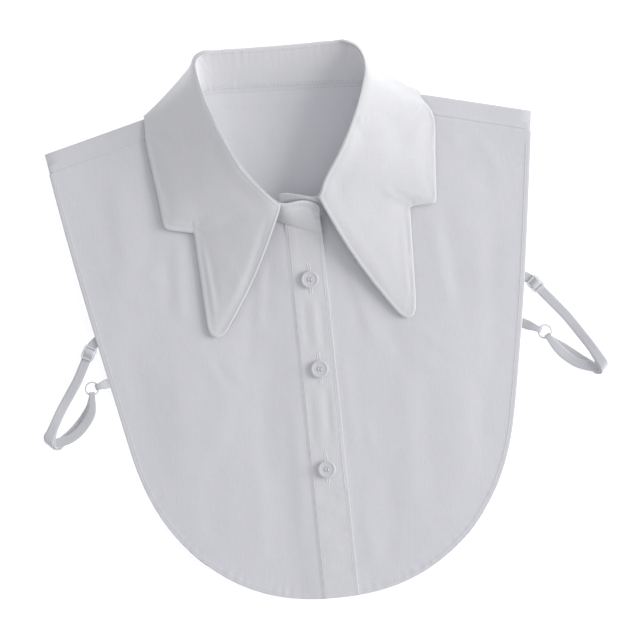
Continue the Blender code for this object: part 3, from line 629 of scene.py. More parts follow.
# %% [markdown]
# Creases of the leaf
#
# The leaf is two plies with their raw edges turned inside. Those turnings show as a low ridge
# inside the outer edge, and where the edge has its step the ply is snipped and pulls into
# small sharp creases. The front edges roll: just inside them runs a shallow trough, and the
# edge itself catches the light.

# %% Creases of the leaf
LEAF_CREASES = (
    (-74.5, -61.5, -22, -47, 3, 2.8, 0.42),
    (-72, -66, -34, -55, 2, 3.0, -0.34),
    (-80, -50, -48, -36, 2, 4.5, -0.26),
    (-76.2, -54.5, -75.4, -63.5, 0, 0.8, -0.34),
    (-74.6, -61.6, -66.5, -65.6, 0, 0.8, -0.34),
    (-76.8, -60.0, -71.5, -55.8, 0, 0.9, 0.24),
    (-70.6, -66, -66.3, -131, 0.5, 1.1, 0.42),
    (-66.6, -72, -62.8, -122, 0.5, 1.6, -0.22),
    (-95.2, -28, -92.8, -57, 0, 1.3, 0.28),
    (-93, -54.5, -79, -57.0, 0, 1.2, 0.24),
    (-20, -50, -54, -124, 2, 2.6, -0.46),
    (-88, 12, -74, -12, 2, 4.0, 0.26),
    (-78, 16, -66, -14, -2, 4.0, -0.24),
    (-60, -80, -44, -112, 2, 4.0, 0.22),
    (77.5, -59.5, 58, -43.5, 1.5, 1.3, 0.17),
    (79.5, -56.0, 63, -42.0, 1.5, 1.6, -0.14),
    (74.5, -61.5, 52, -46, 1.5, 2.4, -0.15),
    (77.2, -53.5, 79.6, -61.5, 0, 0.9, -0.24),
    (82, -54.8, 93.5, -54.0, 0, 1.2, 0.22),
    (70.4, -66, 69.6, -128, -0.5, 1.2, 0.30),
    (92.4, -54, 95.2, -8, 0, 1.3, 0.24),
    (20, -54, 58, -126, -2, 3.0, -0.34),
    (62, 6, 78, -24, 3, 4.5, -0.26),
    (72, 8, 88, -20, 3, 4.5, 0.26),
    (52, -10, 66, -30, 2, 4.0, 0.20),
    (46, -64, 60, -96, 2, 4.5, 0.22),
)
LEAF_EDGE = (1.4, 0.95, 0.34)  # a roll just inside the edge: how far, width and height
LEAF_LEFT_FRONT = ((-13.6, -51.1), (-19.7, -64.5), (-26.6, -80.2), (-34.7, -97.0),
                   (-43.2, -111.4), (-52.3, -125.7), (-58.4, -133.8))
FRONT_TROUGH = (5.0, 2.4, -0.22)
TROUGH_START = 20  # the length over which the trough begins
FOLD_UNDER_Y = 16  # behind this the leaf turns down, and no crease reaches it
FOLD_FADE = 10


def whole_rim(name):
    """A piece's border with its first place again at the end, so that it closes."""
    return np.vstack([rim_loops[name], rim_loops[name][:1]])


def leaf_rise(x, y):
    gap, _ = line_distance(x, y, whole_rim("collar_leaf"))
    edge = ridge(gap, *LEAF_EDGE)
    gap, along = line_distance(x, y, LEAF_LEFT_FRONT)
    edge += ridge(gap, *FRONT_TROUGH) * smooth(along / TROUGH_START)
    return (creases(x, y, LEAF_CREASES) + edge) * smooth((FOLD_UNDER_Y - y) / FOLD_FADE)


print("creases on the leaf:", len(LEAF_CREASES))

# %% [markdown]
# An even fall
#
# The solid of the leaf has few faces, and they show as slow facets in the low light. Its
# upper side is measured on a grid, with rays from above, and blurred. Each place then moves by
# what the blur changed there, least along the edges, so the outline keeps its form. At the
# back of the neck the leaf slips down a little behind the fold of the stand, as the softer
# piece does, and the creases are added last.

# %% Search trees and an even fall
GRID = 1.0  # millimetres between the places of the height grid
SPREAD = 9.0  # how far the heights are evened out
KEEP_EDGE = (3.0, 16.0)  # no evening close to the edges, and how it grows inwards
EVEN_FADE = 20  # how it grows in front of the place where the leaf turns down


def tree_of(*names):
    """One search tree over the faces of several shells."""
    places, faces = [], []
    for name in names:
        mesh = shells[name].data
        start = len(places)
        places += [v.co.copy() for v in mesh.vertices]
        faces += [[i + start for i in face.vertices] for face in mesh.polygons]
    return BVHTree.FromPolygons(places, faces)


def blurred(grid):
    """A grid of heights, each shared out over its neighbours."""
    width = SPREAD / GRID
    reach = int(3 * width)
    weights = np.exp(-(np.arange(-reach, reach + 1) / width) ** 2 / 2)
    for axis in (0, 1):
        grid = np.apply_along_axis(lambda row: np.convolve(row, weights, "same"), axis, grid)
    return grid


def evened(name, low, high):
    """Evens out the slope of a shell's upper side inside a box of table places."""
    made = shells[name]
    places = places_of(made)
    x, y, _ = to_table(places)
    columns, lines = (int((b - a) / GRID) + 1 for a, b in zip(low, high))
    tree = tree_of(name)
    height = np.zeros((columns, lines))
    known = np.zeros((columns, lines))
    for i in range(columns):
        for j in range(lines):
            hit = surface_at(tree, low[0] + i * GRID, low[1] + j * GRID)
            if hit is not None:
                height[i, j], known[i, j] = hit.z / MM, 1
    soft = blurred(height * known) / np.maximum(blurred(known), 1e-6)
    change = (soft - height) * known
    gap, _ = line_distance(x, y, whole_rim(name))
    share = smooth((gap - KEEP_EDGE[0]) / KEEP_EDGE[1]) * smooth((FOLD_UNDER_Y - y) / EVEN_FADE)
    u = np.clip((x - low[0]) / GRID, 0, columns - 1.001)
    v = np.clip((y - low[1]) / GRID, 0, lines - 1.001)
    i, j = u.astype(int), v.astype(int)
    fu, fv = u - i, v - j
    moved = ((change[i, j] * (1 - fu) + change[i + 1, j] * fu) * (1 - fv)
             + (change[i, j + 1] * (1 - fu) + change[i + 1, j + 1] * fu) * fv) * share
    places[:, 2] += moved * MM
    put_places(made, places)
    print(f"{name}: evened by {moved.min():.2f} to {moved.max():.2f} mm")


TUCK_X = (-56.0, 44.0)  # at the back of the neck the leaf hides behind the stand's fold
TUCK_Y, TUCK_Z = 54, 5  # behind and above these
TUCK_FADE = (10, 5, 6)  # how it grows along each axis
TUCK_MOVE = (0.0, -1.3, -2.9)


def tucked_back():
    """Slips the top of the leaf's back behind the fold of the stand."""
    made = shells["collar_leaf"]
    places = places_of(made)
    x, y, z = to_table(places)
    share = smooth((y - TUCK_Y) / TUCK_FADE[1]) * smooth((z - TUCK_Z) / TUCK_FADE[2])
    share *= smooth((x - TUCK_X[0]) / TUCK_FADE[0]) * smooth((TUCK_X[1] - x) / TUCK_FADE[0])
    places += share[:, None] * np.array(TUCK_MOVE) * MM
    put_places(made, places)


tucked_back()
evened("collar_leaf", (-106, -142), (104, 24))
lift("collar_leaf", leaf_rise)

# %% [markdown]
# Creases of the stand
#
# The stand's top edge is stitched close to its fold. The thread draws the two plies together
# and leaves short upright puckers below it, like very small pleats. The same happens on both
# sides of the seam that joins the stand to the back. At the front the fold is a full roll
# with a groove below it, and the outer end is pulled a little towards its button.

# %% Creases of the stand
BACK_SEAM = ((-59, 34.4), (-49, 35.0), (-33, 34.2), (-12, 33.2), (12, 32.2), (35, 31.0),
             (48, 30.0), (57, 28.0))
BACK_FOLD = ((-60.5, 58.5), (-57, 60.4), (-51.5, 61.5), (-34, 61.0), (-13.9, 60.2),
             (13, 59.8), (38, 60.0), (44, 58.6), (48.6, 56.0), (53.8, 49.0))
FRONT_FOLD = ((-12.4, -49.6), (-5, -48.4), (0, -48.3), (5, -48.8), (9, -50.0), (11.6, -52.6),
              (13.4, -57.0))
TOP_STITCH = 2.5  # below the fold
TOP_SINK = 0.18
FOLD_PUCKERS = ((9.0, 5.2, 0.20), (6.0, 3.1, 0.15))
FOLD_SWELL = (8.0, 0.30)  # reach and height
FOLD_Y, SEAM_Y, FRONT_Y = 28, 22, -46  # where the back's fold, its seam and the front begin
STAND_PUCKERS = (4.5, 4.2, 0.20)
STAND_SWELL = (3.5, 0.12)
FRONT_PUCKERS = (2.6, 3.4, 0.14)
FRONT_ROLL = (1.5, 1.2, 0.55)  # how far from the fold, width and height
FRONT_GROOVE = (4.4, 1.2, -0.75)
FACING_PUCKERS = (5.0, 4.6, 0.14)


def stand_rise(x, y):
    """Beside the back's fold, ripples only rise, because the leaf lies just behind."""
    gap, along = line_distance(x, y, BACK_FOLD)
    wave = sum(puckers(gap, along, *row) for row in FOLD_PUCKERS)
    height = (wave + swell(gap, *FOLD_SWELL)) * smooth(gap / 2.0) * (y > FOLD_Y)
    height += ridge(gap, TOP_STITCH, STITCH_WIDE, -TOP_SINK)
    gap, along = line_distance(x, y, BACK_SEAM)
    height += (puckers(gap, along, *STAND_PUCKERS) + swell(gap, *STAND_SWELL)) * (y > SEAM_Y)
    gap, along = line_distance(x, y, FRONT_FOLD)
    front = puckers(gap, along, *FRONT_PUCKERS) * smooth(gap / 1.5)
    front += ridge(gap, *FRONT_ROLL) + ridge(gap, *FRONT_GROOVE)
    return height + front * (y < FRONT_Y)


def facing_rise(x, y):
    gap, along = line_distance(x, y, BACK_SEAM)
    return back_rise(x, y) + puckers(gap, along, *FACING_PUCKERS)


def pulled(name, middle, reach, move, above):
    """Pulls a soft spot of a shell sideways; only places higher than above follow."""
    made = shells[name]
    places = places_of(made)
    x, y, z = to_table(places)
    share = np.exp(-(((x - middle[0]) / reach) ** 2 + ((y - middle[1]) / reach) ** 2))
    share *= z > above
    places += share[:, None] * np.array(move) * MM
    put_places(made, places)


pulled("collar_stand", middle=(11.5, -54.0), reach=3.6, move=(1.9, 0.9, 0.0), above=11.6)
lift("collar_stand", stand_rise)
lift("neck_facing", facing_rise)

# %% [markdown]
# Pressed pieces
#
# An iron leaves the placket and the neck facing thin and close to the cloth below. Their
# solids are as thick as any other wall, so the shells are thinned towards their lower side
# and lowered. Along one edge they then run out flat: each place takes a height just above
# the cloth that a ray from above finds there.

# %% Pressed pieces
PRESSED_ENDS = (0.8, 0.2)  # shares of the half length where the ends grow longer
FACING_FOOT_Y = 24  # the facing's lower edge lies in front of this
FLAT_LEFT = 0.05  # what stays between two plies that lie flat


def pressed(name, thickness, drop, longer=0.0):
    """Thins a shell towards its lower side and lowers it, as a pressed ply lies."""
    made = shells[name]
    places = places_of(made)
    value = sides_of(made)
    low = min(places[:, 2]) / MM
    places[:, 2] -= (drop + (1 - thickness) * (value + 1) / 2) * MM
    middle = places[:, 0].mean()
    half = np.abs(places[:, 0] - middle).max()
    off = (places[:, 0] - middle) / half
    share = smooth((np.abs(off) - PRESSED_ENDS[0]) / PRESSED_ENDS[1])
    places[:, 0] += np.sign(off) * share * longer * MM
    put_places(made, places)
    print(f"{name}: pressed, its lowest place was {low:.2f} mm up")


def laid_on(name, below, line, reach):
    """Lets a shell run out flat onto the one below it, close to a line."""
    made = shells[name]
    tree = tree_of(below)
    places = places_of(made)
    x, y, _ = to_table(places)
    gap, _ = line_distance(x, y, line)
    value = sides_of(made)
    for i in np.nonzero(gap < reach)[0]:
        hit = surface_at(tree, x[i], y[i])
        if hit is not None:
            share = 1 - float(smooth(gap[i] / reach))
            aim = hit.z + (FLAT_LEFT if value[i] > 0 else -FLAT_LEFT) * MM
            places[i, 2] += (aim - places[i, 2]) * share
    put_places(made, places)


pressed("neck_facing", thickness=0.35, drop=0.30, longer=3.0)
pressed("placket", thickness=0.45, drop=0.32)
facing_foot = run_of("neck_facing", lambda x, y: y < FACING_FOOT_Y)
placket_side = ((PLACKET_EDGES[0], -60.0), (PLACKET_EDGES[0], -330.0))
laid_on("neck_facing", "back_panel", facing_foot, reach=5.0)
laid_on("placket", "front_right", placket_side, reach=3.0)

# %% [markdown]
# Seams that meet
#
# The solids keep a small gap at every seam. Sewn cloth has none, so the rim of one piece is
# drawn to its neighbour: a place within reach of it moves towards the nearest point there,
# and the pull fades with distance, which keeps the surface smooth. The fronts meet the back
# at the same height, so their upper rims only move along the table, up to the seam.

# %% Seams that meet
SEAM_FULL = 1.25  # a gap up to this closes, in millimetres
SEAM_REACH = 2.6
SEAM_LEFT = 0.06  # what stays of it
SEAM_NEAR = 2.4  # places this close to the seam's line take part
SHOULDER_CLOSE = 1.1  # how far the fronts' rims move up


def draw_to(moving, still, line):
    """Draws a shell to its neighbour along the line of their seam."""
    tree = tree_of(still)
    made = shells[moving]
    places = places_of(made)
    x, y, _ = to_table(places)
    away, _ = line_distance(x, y, line)
    moved = 0
    for i in np.nonzero(away < SEAM_NEAR)[0]:
        here = Vector(places[i])
        near, _, _, gap = tree.find_nearest(here, SEAM_REACH * MM)
        if near is None or gap < SEAM_LEFT * MM:
            continue
        pull = 1 - float(smooth((gap / MM - SEAM_FULL) / (SEAM_REACH - SEAM_FULL)))
        places[i] = here + (near - here) * pull * (1 - SEAM_LEFT * MM / gap)
        moved += 1
    put_places(made, places)
    print(f"{moving} drawn to {still}: {moved} places")


def up_to_shoulder(name, line):
    """Moves the rim of a front up to the forward shoulder seam."""
    made = shells[name]
    places = places_of(made)
    x, y, _ = to_table(places)
    gap, _ = line_distance(x, y, line)
    places[:, 1] += SHOULDER_CLOSE * MM * (1 - smooth(gap / SEAM_NEAR))
    put_places(made, places)


STAND_FOOT = ((14.3, -73.5), (9.0, -71.4), (0.0, -67.8), (-11.0, -63.3))
for name, line in zip(("front_right", "front_left"), SHOULDER_SEAMS):
    up_to_shoulder(name, line)
draw_to("placket", "collar_stand", STAND_FOOT)
draw_to("neck_facing", "collar_stand", BACK_SEAM)

# %% [markdown]
# Rows of stitches
#
# A lockstitch shows on each side as short lengths of thread with small gaps where it dives
# into the cloth. Every stitch is a little rod with rounded ends, laid on the surface that a
# ray from above finds, and sunk into it by part of its thickness. All the stitches of a row
# share one mesh. On the collar, where the rows are seen from near, the needle's holes get
# painted shade: small dark spots between the stitches, beads of a grey sunk almost to their tops.

# %% Lines for the needle

def curve_through(points, step=0.5):
    """A smooth line through table places."""
    points = [np.array(p, float) for p in points]
    ends = [2 * points[0] - points[1]] + points + [2 * points[-1] - points[-2]]
    out = []
    for p0, p1, p2, p3 in zip(ends, ends[1:], ends[2:], ends[3:]):
        count = max(1, round(np.linalg.norm(p2 - p1) / step))
        for k in range(count):
            t = k / count
            out.append(0.5 * (2 * p1 + (p2 - p0) * t + (2 * p0 - 5 * p1 + 4 * p2 - p3) * t ** 2
                              + (3 * p1 - p0 - 3 * p2 + p3) * t ** 3))
    out.append(points[-1])
    return np.array(out)


def beside(points, off):
    """The line moved sideways: to the left of its course where off is positive."""
    points = np.asarray(points, float)
    course = np.gradient(points, axis=0)
    course /= np.maximum(np.linalg.norm(course, axis=1), 1e-9)[:, None]
    return points + np.stack([-course[:, 1], course[:, 0]], 1) * off


STITCH_LENGTH = 1.9  # at the pitch below; rows with a finer pitch have shorter stitches
STITCH_PITCH = 2.6
FIRST_STITCH = 0.3


def stops_along(points, pitch):
    """Pairs of places at the ends of each stitch."""
    lengths = np.linalg.norm(np.diff(points, axis=0), axis=1)
    along = np.concatenate([[0], np.cumsum(lengths)])
    count = int(along[-1] / pitch)
    for k in range(count):
        start = k * pitch + FIRST_STITCH
        ends = np.array([start, start + STITCH_LENGTH * pitch / STITCH_PITCH])
        yield np.stack([np.interp(ends, along, points[:, c]) for c in (0, 1)], 1)


back_seam = curve_through(BACK_SEAM)
print("places along the back seam:", len(back_seam))


# %% Rods and finished pieces
def rod(shape, start, end, radius, sides=6, rings=3):
    """A thin rod with rounded ends, added to a mesh that is being made."""
    course = end - start
    turn = course.to_track_quat("Z", "Y").to_matrix()
    made = []
    profile = [(start, -math.pi / 2 + math.pi / 2 * k / rings) for k in range(rings + 1)]
    profile += [(end, math.pi / 2 * k / rings) for k in range(rings + 1)]
    for centre, lean in profile:
        ring = []
        reach, rise = radius * math.cos(lean), radius * math.sin(lean)
        for k in range(sides):
            a = math.tau * k / sides
            ring.append(shape.verts.new(centre + turn @ Vector(
                (reach * math.cos(a), reach * math.sin(a), rise))))
        made.append(ring)
    for a, b in zip(made, made[1:]):
        for k in range(sides):
            n = (k + 1) % sides
            shape.faces.new((a[k], a[n], b[n], b[k]))


def finished(name, shape):
    """Turns a mesh built face by face into a piece that rides on the body."""
    bmesh.ops.remove_doubles(shape, verts=shape.verts, dist=1e-7)
    mesh = bpy.data.meshes.new(name)
    shape.to_mesh(mesh)
    shape.free()
    mesh.shade_smooth()
    made = bpy.data.objects.new(name, mesh)
    bpy.context.scene.collection.objects.link(made)
    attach(made, "root")
    return made


print("helpers for rods and finished pieces ready")

# %% Rows of stitches
THREAD = 0.17
THREAD_OUT = 0.25  # how much of it stands out of the cloth
# The needle's holes get grey beads of painted shade: their radius, and the places where they go.
HOLE_SHADE_BEAD = 0.34
rows = []
painted_hole_shade = []


def stitches(name, lines, on, upward=True, pitch=STITCH_PITCH, hole_shade=False):
    """Rows of stitches along lines of table places, on the named shells."""
    tree = tree_of(*on)
    far, toward = (OVERHEAD, DOWN) if upward else (-OVERHEAD, -DOWN)
    shape = bmesh.new()
    count = 0
    for points in lines:
        if len(points) < 2:
            continue
        for pair in stops_along(np.asarray(points), pitch):
            ends = []
            for x, y in pair:
                hit, normal, _, _ = tree.ray_cast(to_part(x, y, far), toward)
                if hit is not None:
                    ends.append(hit + normal * THREAD * MM * THREAD_OUT)
            if len(ends) == 2 and (ends[1] - ends[0]).length < 2 * STITCH_LENGTH * MM:
                rod(shape, *ends, THREAD * MM)
                count += 1
                # After each stitch a grey bead of painted shade marks the needle's hole.
                if hole_shade:
                    course = ends[1] - ends[0]
                    beyond = (pitch - STITCH_LENGTH * pitch / STITCH_PITCH) / 2 * MM
                    painted_hole_shade.append((ends[1] + course.normalized() * beyond, course, normal))
    rows.append(finished(name, shape))
    print(f"{name}: {count} stitches")


# %% Rows on the body
PANEL_MIDDLE = np.array((0.0, -160.0))
PLACKET_TOP, PLACKET_FOOT = -70.0, -327.0
BAND_SLANT = 0.37  # the stand's foot crosses the placket at a slant
SHOULDER_ROW = 2.2
SHOULDER_X = (-106, 103)  # the row runs between these


def between(points, low, high):
    """The stretch of a line whose X lies in a range."""
    points = np.asarray(points)
    return points[(points[:, 0] >= low) & (points[:, 0] <= high)]


def inside_hem(name, off):
    """The hem's line of stitches: the border moved towards the middle of the panel."""
    fine = curve_through(hems[name])
    left, right = beside(fine, off), beside(fine, -off)
    left_gap, right_gap = (np.linalg.norm(line - PANEL_MIDDLE, axis=1).mean()
                           for line in (left, right))
    return left if left_gap < right_gap else right


hem_lines = {name: inside_hem(name, HEM_WIDTH) for name in hems}
stitches("stitches_hem", [hem_lines["front_right"], hem_lines["front_left"]],
         ["front_right", "front_left"])
stitches("stitches_back_hem", [hem_lines["back_panel"]], ["back_panel"], upward=False)
stitches("stitches_placket", [[(x, PLACKET_TOP - BAND_SLANT * x), (x, PLACKET_FOOT)]
                              for x in PLACKET_ROWS], ["placket"])
stitches("stitches_shoulder", [
    between(beside(curve_through(seam), off), *SHOULDER_X)
    for seam, off in zip(SHOULDER_SEAMS, (SHOULDER_ROW, -SHOULDER_ROW))], ["back_panel"])

# %% Rows on the collar
FINE_PITCH = 2.1  # the collar is sewn finer than the rest
STAND_ROW, FACING_ROW, FOOT_ROW = 1.6, 2.6, 1.5  # each row's distance from its seam
FOLD_X = (-58, 52)  # the row below the back's fold runs between these
# Grey beads of painted shade in the needle holes: how deep each lies and half its length, as
# shares.
SHADE_BEAD_SINK, SHADE_BEAD_LONG = 0.6, 0.3  # how deep a bead lies and half its length, as shares

# The rows on the collar get beads of painted shade in their needle holes, all but the row at the
# stand's foot.
stitches("stitches_stand", [
    beside(back_seam, STAND_ROW),
    between(beside(curve_through(BACK_FOLD), -TOP_STITCH), *FOLD_X)],
         ["collar_stand", "neck_facing"], pitch=FINE_PITCH, hole_shade=True)
stitches("stitches_facing", [beside(back_seam, -FACING_ROW)], ["neck_facing"],
         pitch=FINE_PITCH, hole_shade=True)
stitches("stitches_stand_end", [beside(curve_through(FRONT_FOLD), -TOP_STITCH)],
         ["collar_stand"], pitch=FINE_PITCH, hole_shade=True)
stitches("stitches_stand_foot", [beside(curve_through(STAND_FOOT), -FOOT_ROW)],
         ["collar_stand"], pitch=FINE_PITCH)


def painted_hole_shade_beads():
    """Grey beads of painted shade where the thread dives in, sunk almost to their tops."""
    shape = bmesh.new()
    for centre, course, normal in painted_hole_shade:
        middle = centre - normal * HOLE_SHADE_BEAD * SHADE_BEAD_SINK * MM
        half = course.normalized() * HOLE_SHADE_BEAD * SHADE_BEAD_LONG * MM
        rod(shape, middle - half, middle + half, HOLE_SHADE_BEAD * MM, rings=2)
    return finished("painted_hole_shade", shape)


hole_shade_beads = painted_hole_shade_beads()
print("needle holes:", len(painted_hole_shade))

# %% [markdown]
# Buttonholes
#
# A buttonhole is a slit whose edges are covered with close zigzag stitches, with a bar at
# each end. It runs along the placket, so most of it is under the button. A thin cord swept
# round a long narrow loop, thicker and thinner by turns, gives the look of the zigzag.

# %% Buttonholes
HOLE_ABOVE = 10.6  # the slit's ends, from the button's middle
HOLE_BELOW = 9.0
HOLE_HALF = 0.75
CORD = 0.42
CORD_SIDES = 8
CORD_THIN, CORD_FLAT = 0.82, 0.55  # shares: every other ring, and its height
ZIGZAG = 0.45
END_STEPS = 8
PLACKET_HEIGHT = 6  # used where a ray misses the placket


def hole_loop(x, y):
    """The long narrow loop round a slit, in table places."""
    loop = []
    low, high = y - HOLE_BELOW, y + HOLE_ABOVE
    steps = int((high - low) / ZIGZAG) * 2
    for side, start, end in ((-1, low, high), (1, high, low)):
        for k in range(steps + 1):
            loop.append((x + side * HOLE_HALF, start + (end - start) * k / steps))
        for k in range(1, END_STEPS):
            a = math.pi * k / END_STEPS
            loop.append((x + side * HOLE_HALF * math.cos(a),
                         end - side * HOLE_HALF * math.sin(a)))
    return loop


def buttonhole(index, x, y):
    tree = tree_of("placket")
    loop = hole_loop(x, y)
    shape = bmesh.new()
    made = []
    for i, (px, py) in enumerate(loop):
        qx, qy = loop[(i + 1) % len(loop)]
        hit = surface_at(tree, px, py)
        centre = hit if hit is not None else to_part(px, py, PLACKET_HEIGHT)
        course = Vector((qx - px, qy - py, 0)).normalized()
        across = Vector((-course.y, course.x, 0))
        wide = CORD * (1.0 if i % 2 else CORD_THIN)
        ring = []
        for k in range(CORD_SIDES):
            a = math.tau * k / CORD_SIDES
            ring.append(shape.verts.new(centre + across * wide * MM * math.cos(a)
                                        + Vector((0, 0, CORD_FLAT * wide * MM * math.sin(a)))))
        made.append(ring)
    for a, b in zip(made, made[1:] + made[:1]):
        for k in range(CORD_SIDES):
            n = (k + 1) % CORD_SIDES
            shape.faces.new((a[k], b[k], b[n], a[n]))
    rows.append(finished(f"buttonhole_{index}", shape))


for index, (x, y) in enumerate(BUTTONS, 1):
    buttonhole(index, x, y)
print("buttonholes:", len(BUTTONS))

# %% [markdown]
# Buttons
#
# A shirt button is turned from a disc: a raised rim, a dished face and four holes. The
# profile is the solid's own, with more points round its corners, made flatter and spun round
# its axis, and the thread holds the button down in the cloth. The holes are cut with thin
# drills. The thread runs through them in two short loops.

# %% Buttons
BUTTON_PROFILE = ((0.0, 0.0), (4.4, 0.0), (5.3, 0.25), (5.9, 0.7), (6.2, 1.25), (6.22, 1.75),
                  (6.05, 2.1), (5.7, 2.36), (5.25, 2.44), (4.85, 2.35), (4.5, 2.15), (4.1, 1.98),
                  (3.5, 1.9), (0.0, 1.88))
BUTTON_SIDES = 56
BUTTON_FLAT = 0.66  # the button as photographed is flatter than a turned one
BUTTON_SINK = 0.45  # how far it lies in the cloth
BUTTON_TURN = math.radians(12)
BUTTON_SHARP = math.radians(50)  # edges sharper than this stay sharp
HOLE_RADIUS = 0.62
HOLE_OUT = 1.35
DRILL_SIDES = 20
DRILL_DEPTH = 8


def fine_button(index, x, y):
    low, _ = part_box(f"button_{index}")
    foot = low[2] - BUTTON_SINK * MM
    shape = bmesh.new()
    rings = []
    for radius, rise in BUTTON_PROFILE:
        rise *= BUTTON_FLAT
        if radius == 0:
            rings.append([shape.verts.new(to_part(x, y) + Vector((0, 0, foot + rise * MM)))])
            continue
        ring = []
        for k in range(BUTTON_SIDES):
            a = math.tau * k / BUTTON_SIDES
            ring.append(shape.verts.new(to_part(x + radius * math.cos(a), y + radius * math.sin(a))
                                        + Vector((0, 0, foot + rise * MM))))
        rings.append(ring)
    for a, b in zip(rings, rings[1:]):
        for k in range(BUTTON_SIDES):
            n = (k + 1) % BUTTON_SIDES
            if len(a) == 1:
                shape.faces.new((a[0], b[n], b[k]))
            elif len(b) == 1:
                shape.faces.new((a[k], a[n], b[0]))
            else:
                shape.faces.new((a[k], a[n], b[n], b[k]))
    made = finished(f"fine_button_{index}", shape)
    for k in range(4):
        a = math.tau * (k + 0.5) / 4 - BUTTON_TURN
        bpy.ops.mesh.primitive_cylinder_add(
            vertices=DRILL_SIDES, radius=HOLE_RADIUS * MM, depth=DRILL_DEPTH * MM,
            location=to_part(x + HOLE_OUT * math.cos(a), y + HOLE_OUT * math.sin(a))
            + Vector((0, 0, foot)))
        drill = bpy.context.object
        cut = made.modifiers.new("drill", "BOOLEAN")
        cut.object = drill
        cut.solver = "EXACT"
        applied(made)
        bpy.data.objects.remove(drill, do_unlink=True)
    made.data.set_sharp_from_angle(angle=BUTTON_SHARP)
    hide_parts(f"button_{index}")
    return made


buttons = [fine_button(index, x, y) for index, (x, y) in enumerate(BUTTONS, 1)]
print("buttons:", [len(b.data.polygons) for b in buttons])

# %% The buttons' thread
THREAD_RADIUS = 0.40
LOOP_STEPS = 8
LOOP_LONG, LOOP_SIDE = 0.72, 0.70  # shares of the holes' distance from the middle
LOOP_FOOT, LOOP_RISE, LOOP_ROUND = 1.55, 0.75, 0.6


def button_thread(index, x, y):
    low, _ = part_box(f"button_{index}")
    shape = bmesh.new()
    for sign in (-1, 1):
        points = []
        for k in range(LOOP_STEPS + 1):
            t = k / LOOP_STEPS
            across = (t - 0.5) * 2 * HOLE_OUT * LOOP_LONG
            arch = LOOP_FOOT + LOOP_RISE * math.sin(math.pi * t) ** LOOP_ROUND
            rise = arch * BUTTON_FLAT - BUTTON_SINK
            side = sign * HOLE_OUT * LOOP_SIDE
            px = side * math.cos(BUTTON_TURN) + across * math.sin(BUTTON_TURN)
            py = across * math.cos(BUTTON_TURN) - side * math.sin(BUTTON_TURN)
            points.append(to_part(x + px, y + py) + Vector((0, 0, low[2] + rise * MM)))
        for a, b in zip(points, points[1:]):
            rod(shape, a, b, THREAD_RADIUS * MM, sides=8)
    rows.append(finished(f"button_thread_{index}", shape))


for index, (x, y) in enumerate(BUTTONS, 1):
    button_thread(index, x, y)
print("pieces of thread so far:", len(rows))

# %% [markdown]
# Shader maths in plain Python
#
# A small class wraps a socket, so that a mask or a wave can be written as an expression.
# Each operator adds one Math node. Anything else comes from one method, which takes the
# node's type, its settings and the values or links of its sockets.

# %% Shader maths in plain Python


class Wire:
    """A socket of a material's nodes, with arithmetic."""

    def __init__(self, tree, socket):
        self.tree = tree
        self.socket = socket

    def maths(self, operation, *others):
        node = self.tree.nodes.new("ShaderNodeMath")
        node.operation = operation
        for slot, value in zip(node.inputs, (self, *others)):
            plug(self.tree, slot, value)
        return Wire(self.tree, node.outputs[0])

    def __add__(self, other):
        return self.maths("ADD", other)

    __radd__ = __add__

    def __sub__(self, other):
        return self.maths("SUBTRACT", other)

    def __rsub__(self, other):
        return (self * -1) + other

    def __mul__(self, other):
        return self.maths("MULTIPLY", other)

    __rmul__ = __mul__

    def sine(self):
        return self.maths("SINE")


def plug(tree, slot, value):
    """Gives a node's socket a link or a value."""
    if isinstance(value, Wire):
        tree.links.new(value.socket, slot)
    else:
        slot.default_value = value


class Finish:
    """A material under a maker's name, and the nodes that it is made of."""

    def __init__(self, name, **constants):
        self.material = bpy.data.materials.new(name)
        self.material.use_nodes = True
        self.tree = self.material.node_tree
        self.shader = self.tree.nodes["Principled BSDF"]
        for socket, value in constants.items():
            self.set(socket.replace("_", " "), value)

    def set(self, socket, value):
        plug(self.tree, self.shader.inputs[socket], value)

    def node(self, kind, settings=None, output=0, **sockets):
        made = self.tree.nodes.new(kind)
        for key, value in (settings or {}).items():
            setattr(made, key, value)
        for key, value in sockets.items():
            plug(self.tree, made.inputs[key.replace("_", " ")], value)
        return Wire(self.tree, made.outputs[output])

    def blend(self, share, a, b):
        """One colour turning into another."""
        node = self.tree.nodes.new("ShaderNodeMix")
        node.data_type = "RGBA"
        plug(self.tree, node.inputs["Factor"], share)
        plug(self.tree, node.inputs[6], a)
        plug(self.tree, node.inputs[7], b)
        return Wire(self.tree, node.outputs[2])

    def bump(self, height, distance, strength):
        self.set("Normal", self.node("ShaderNodeBump", Height=height, Distance=distance,
                                     Strength=strength))

    def place(self):
        """X, Y and Z of a point of the piece, in metres."""
        coordinates = self.node("ShaderNodeTexCoord", output=3)
        split = self.tree.nodes.new("ShaderNodeSeparateXYZ")
        plug(self.tree, split.inputs[0], coordinates)
        return coordinates, [Wire(self.tree, out) for out in split.outputs]


print("shader helpers ready")

# %% [markdown]
# Cotton
#
# Shirting is a plain weave: threads go over and under one another in both directions. Two
# crossed sine waves, about half a millimetre long, make the bump of the weave. Threads are
# never quite even, so stretched noise adds faint streaks along the warp and the weft, and a
# slow noise gives the unevenness of washed and pressed cotton. The colour hardly changes at
# all. Collar and placket are doubled and stiffened, so less shows through and they are whiter.

# %% Cotton
THREAD_PITCH = 0.55 * MM
COTTON_PALE = (0.845, 0.845, 0.872, 1)
COTTON_DEEP = (0.775, 0.775, 0.81, 1)
DOUBLED_PALE = (0.855, 0.855, 0.866, 1)
DOUBLED_DEEP = (0.79, 0.79, 0.806, 1)
DOUBLED = ("placket", "collar_leaf", "collar_stand")
WARP_SCALE = (1500, 60, 200)  # noise waves in a metre along X, Y and Z
WEFT_SCALE = (50, 1400, 200)
SLOW_SCALE = 70.0


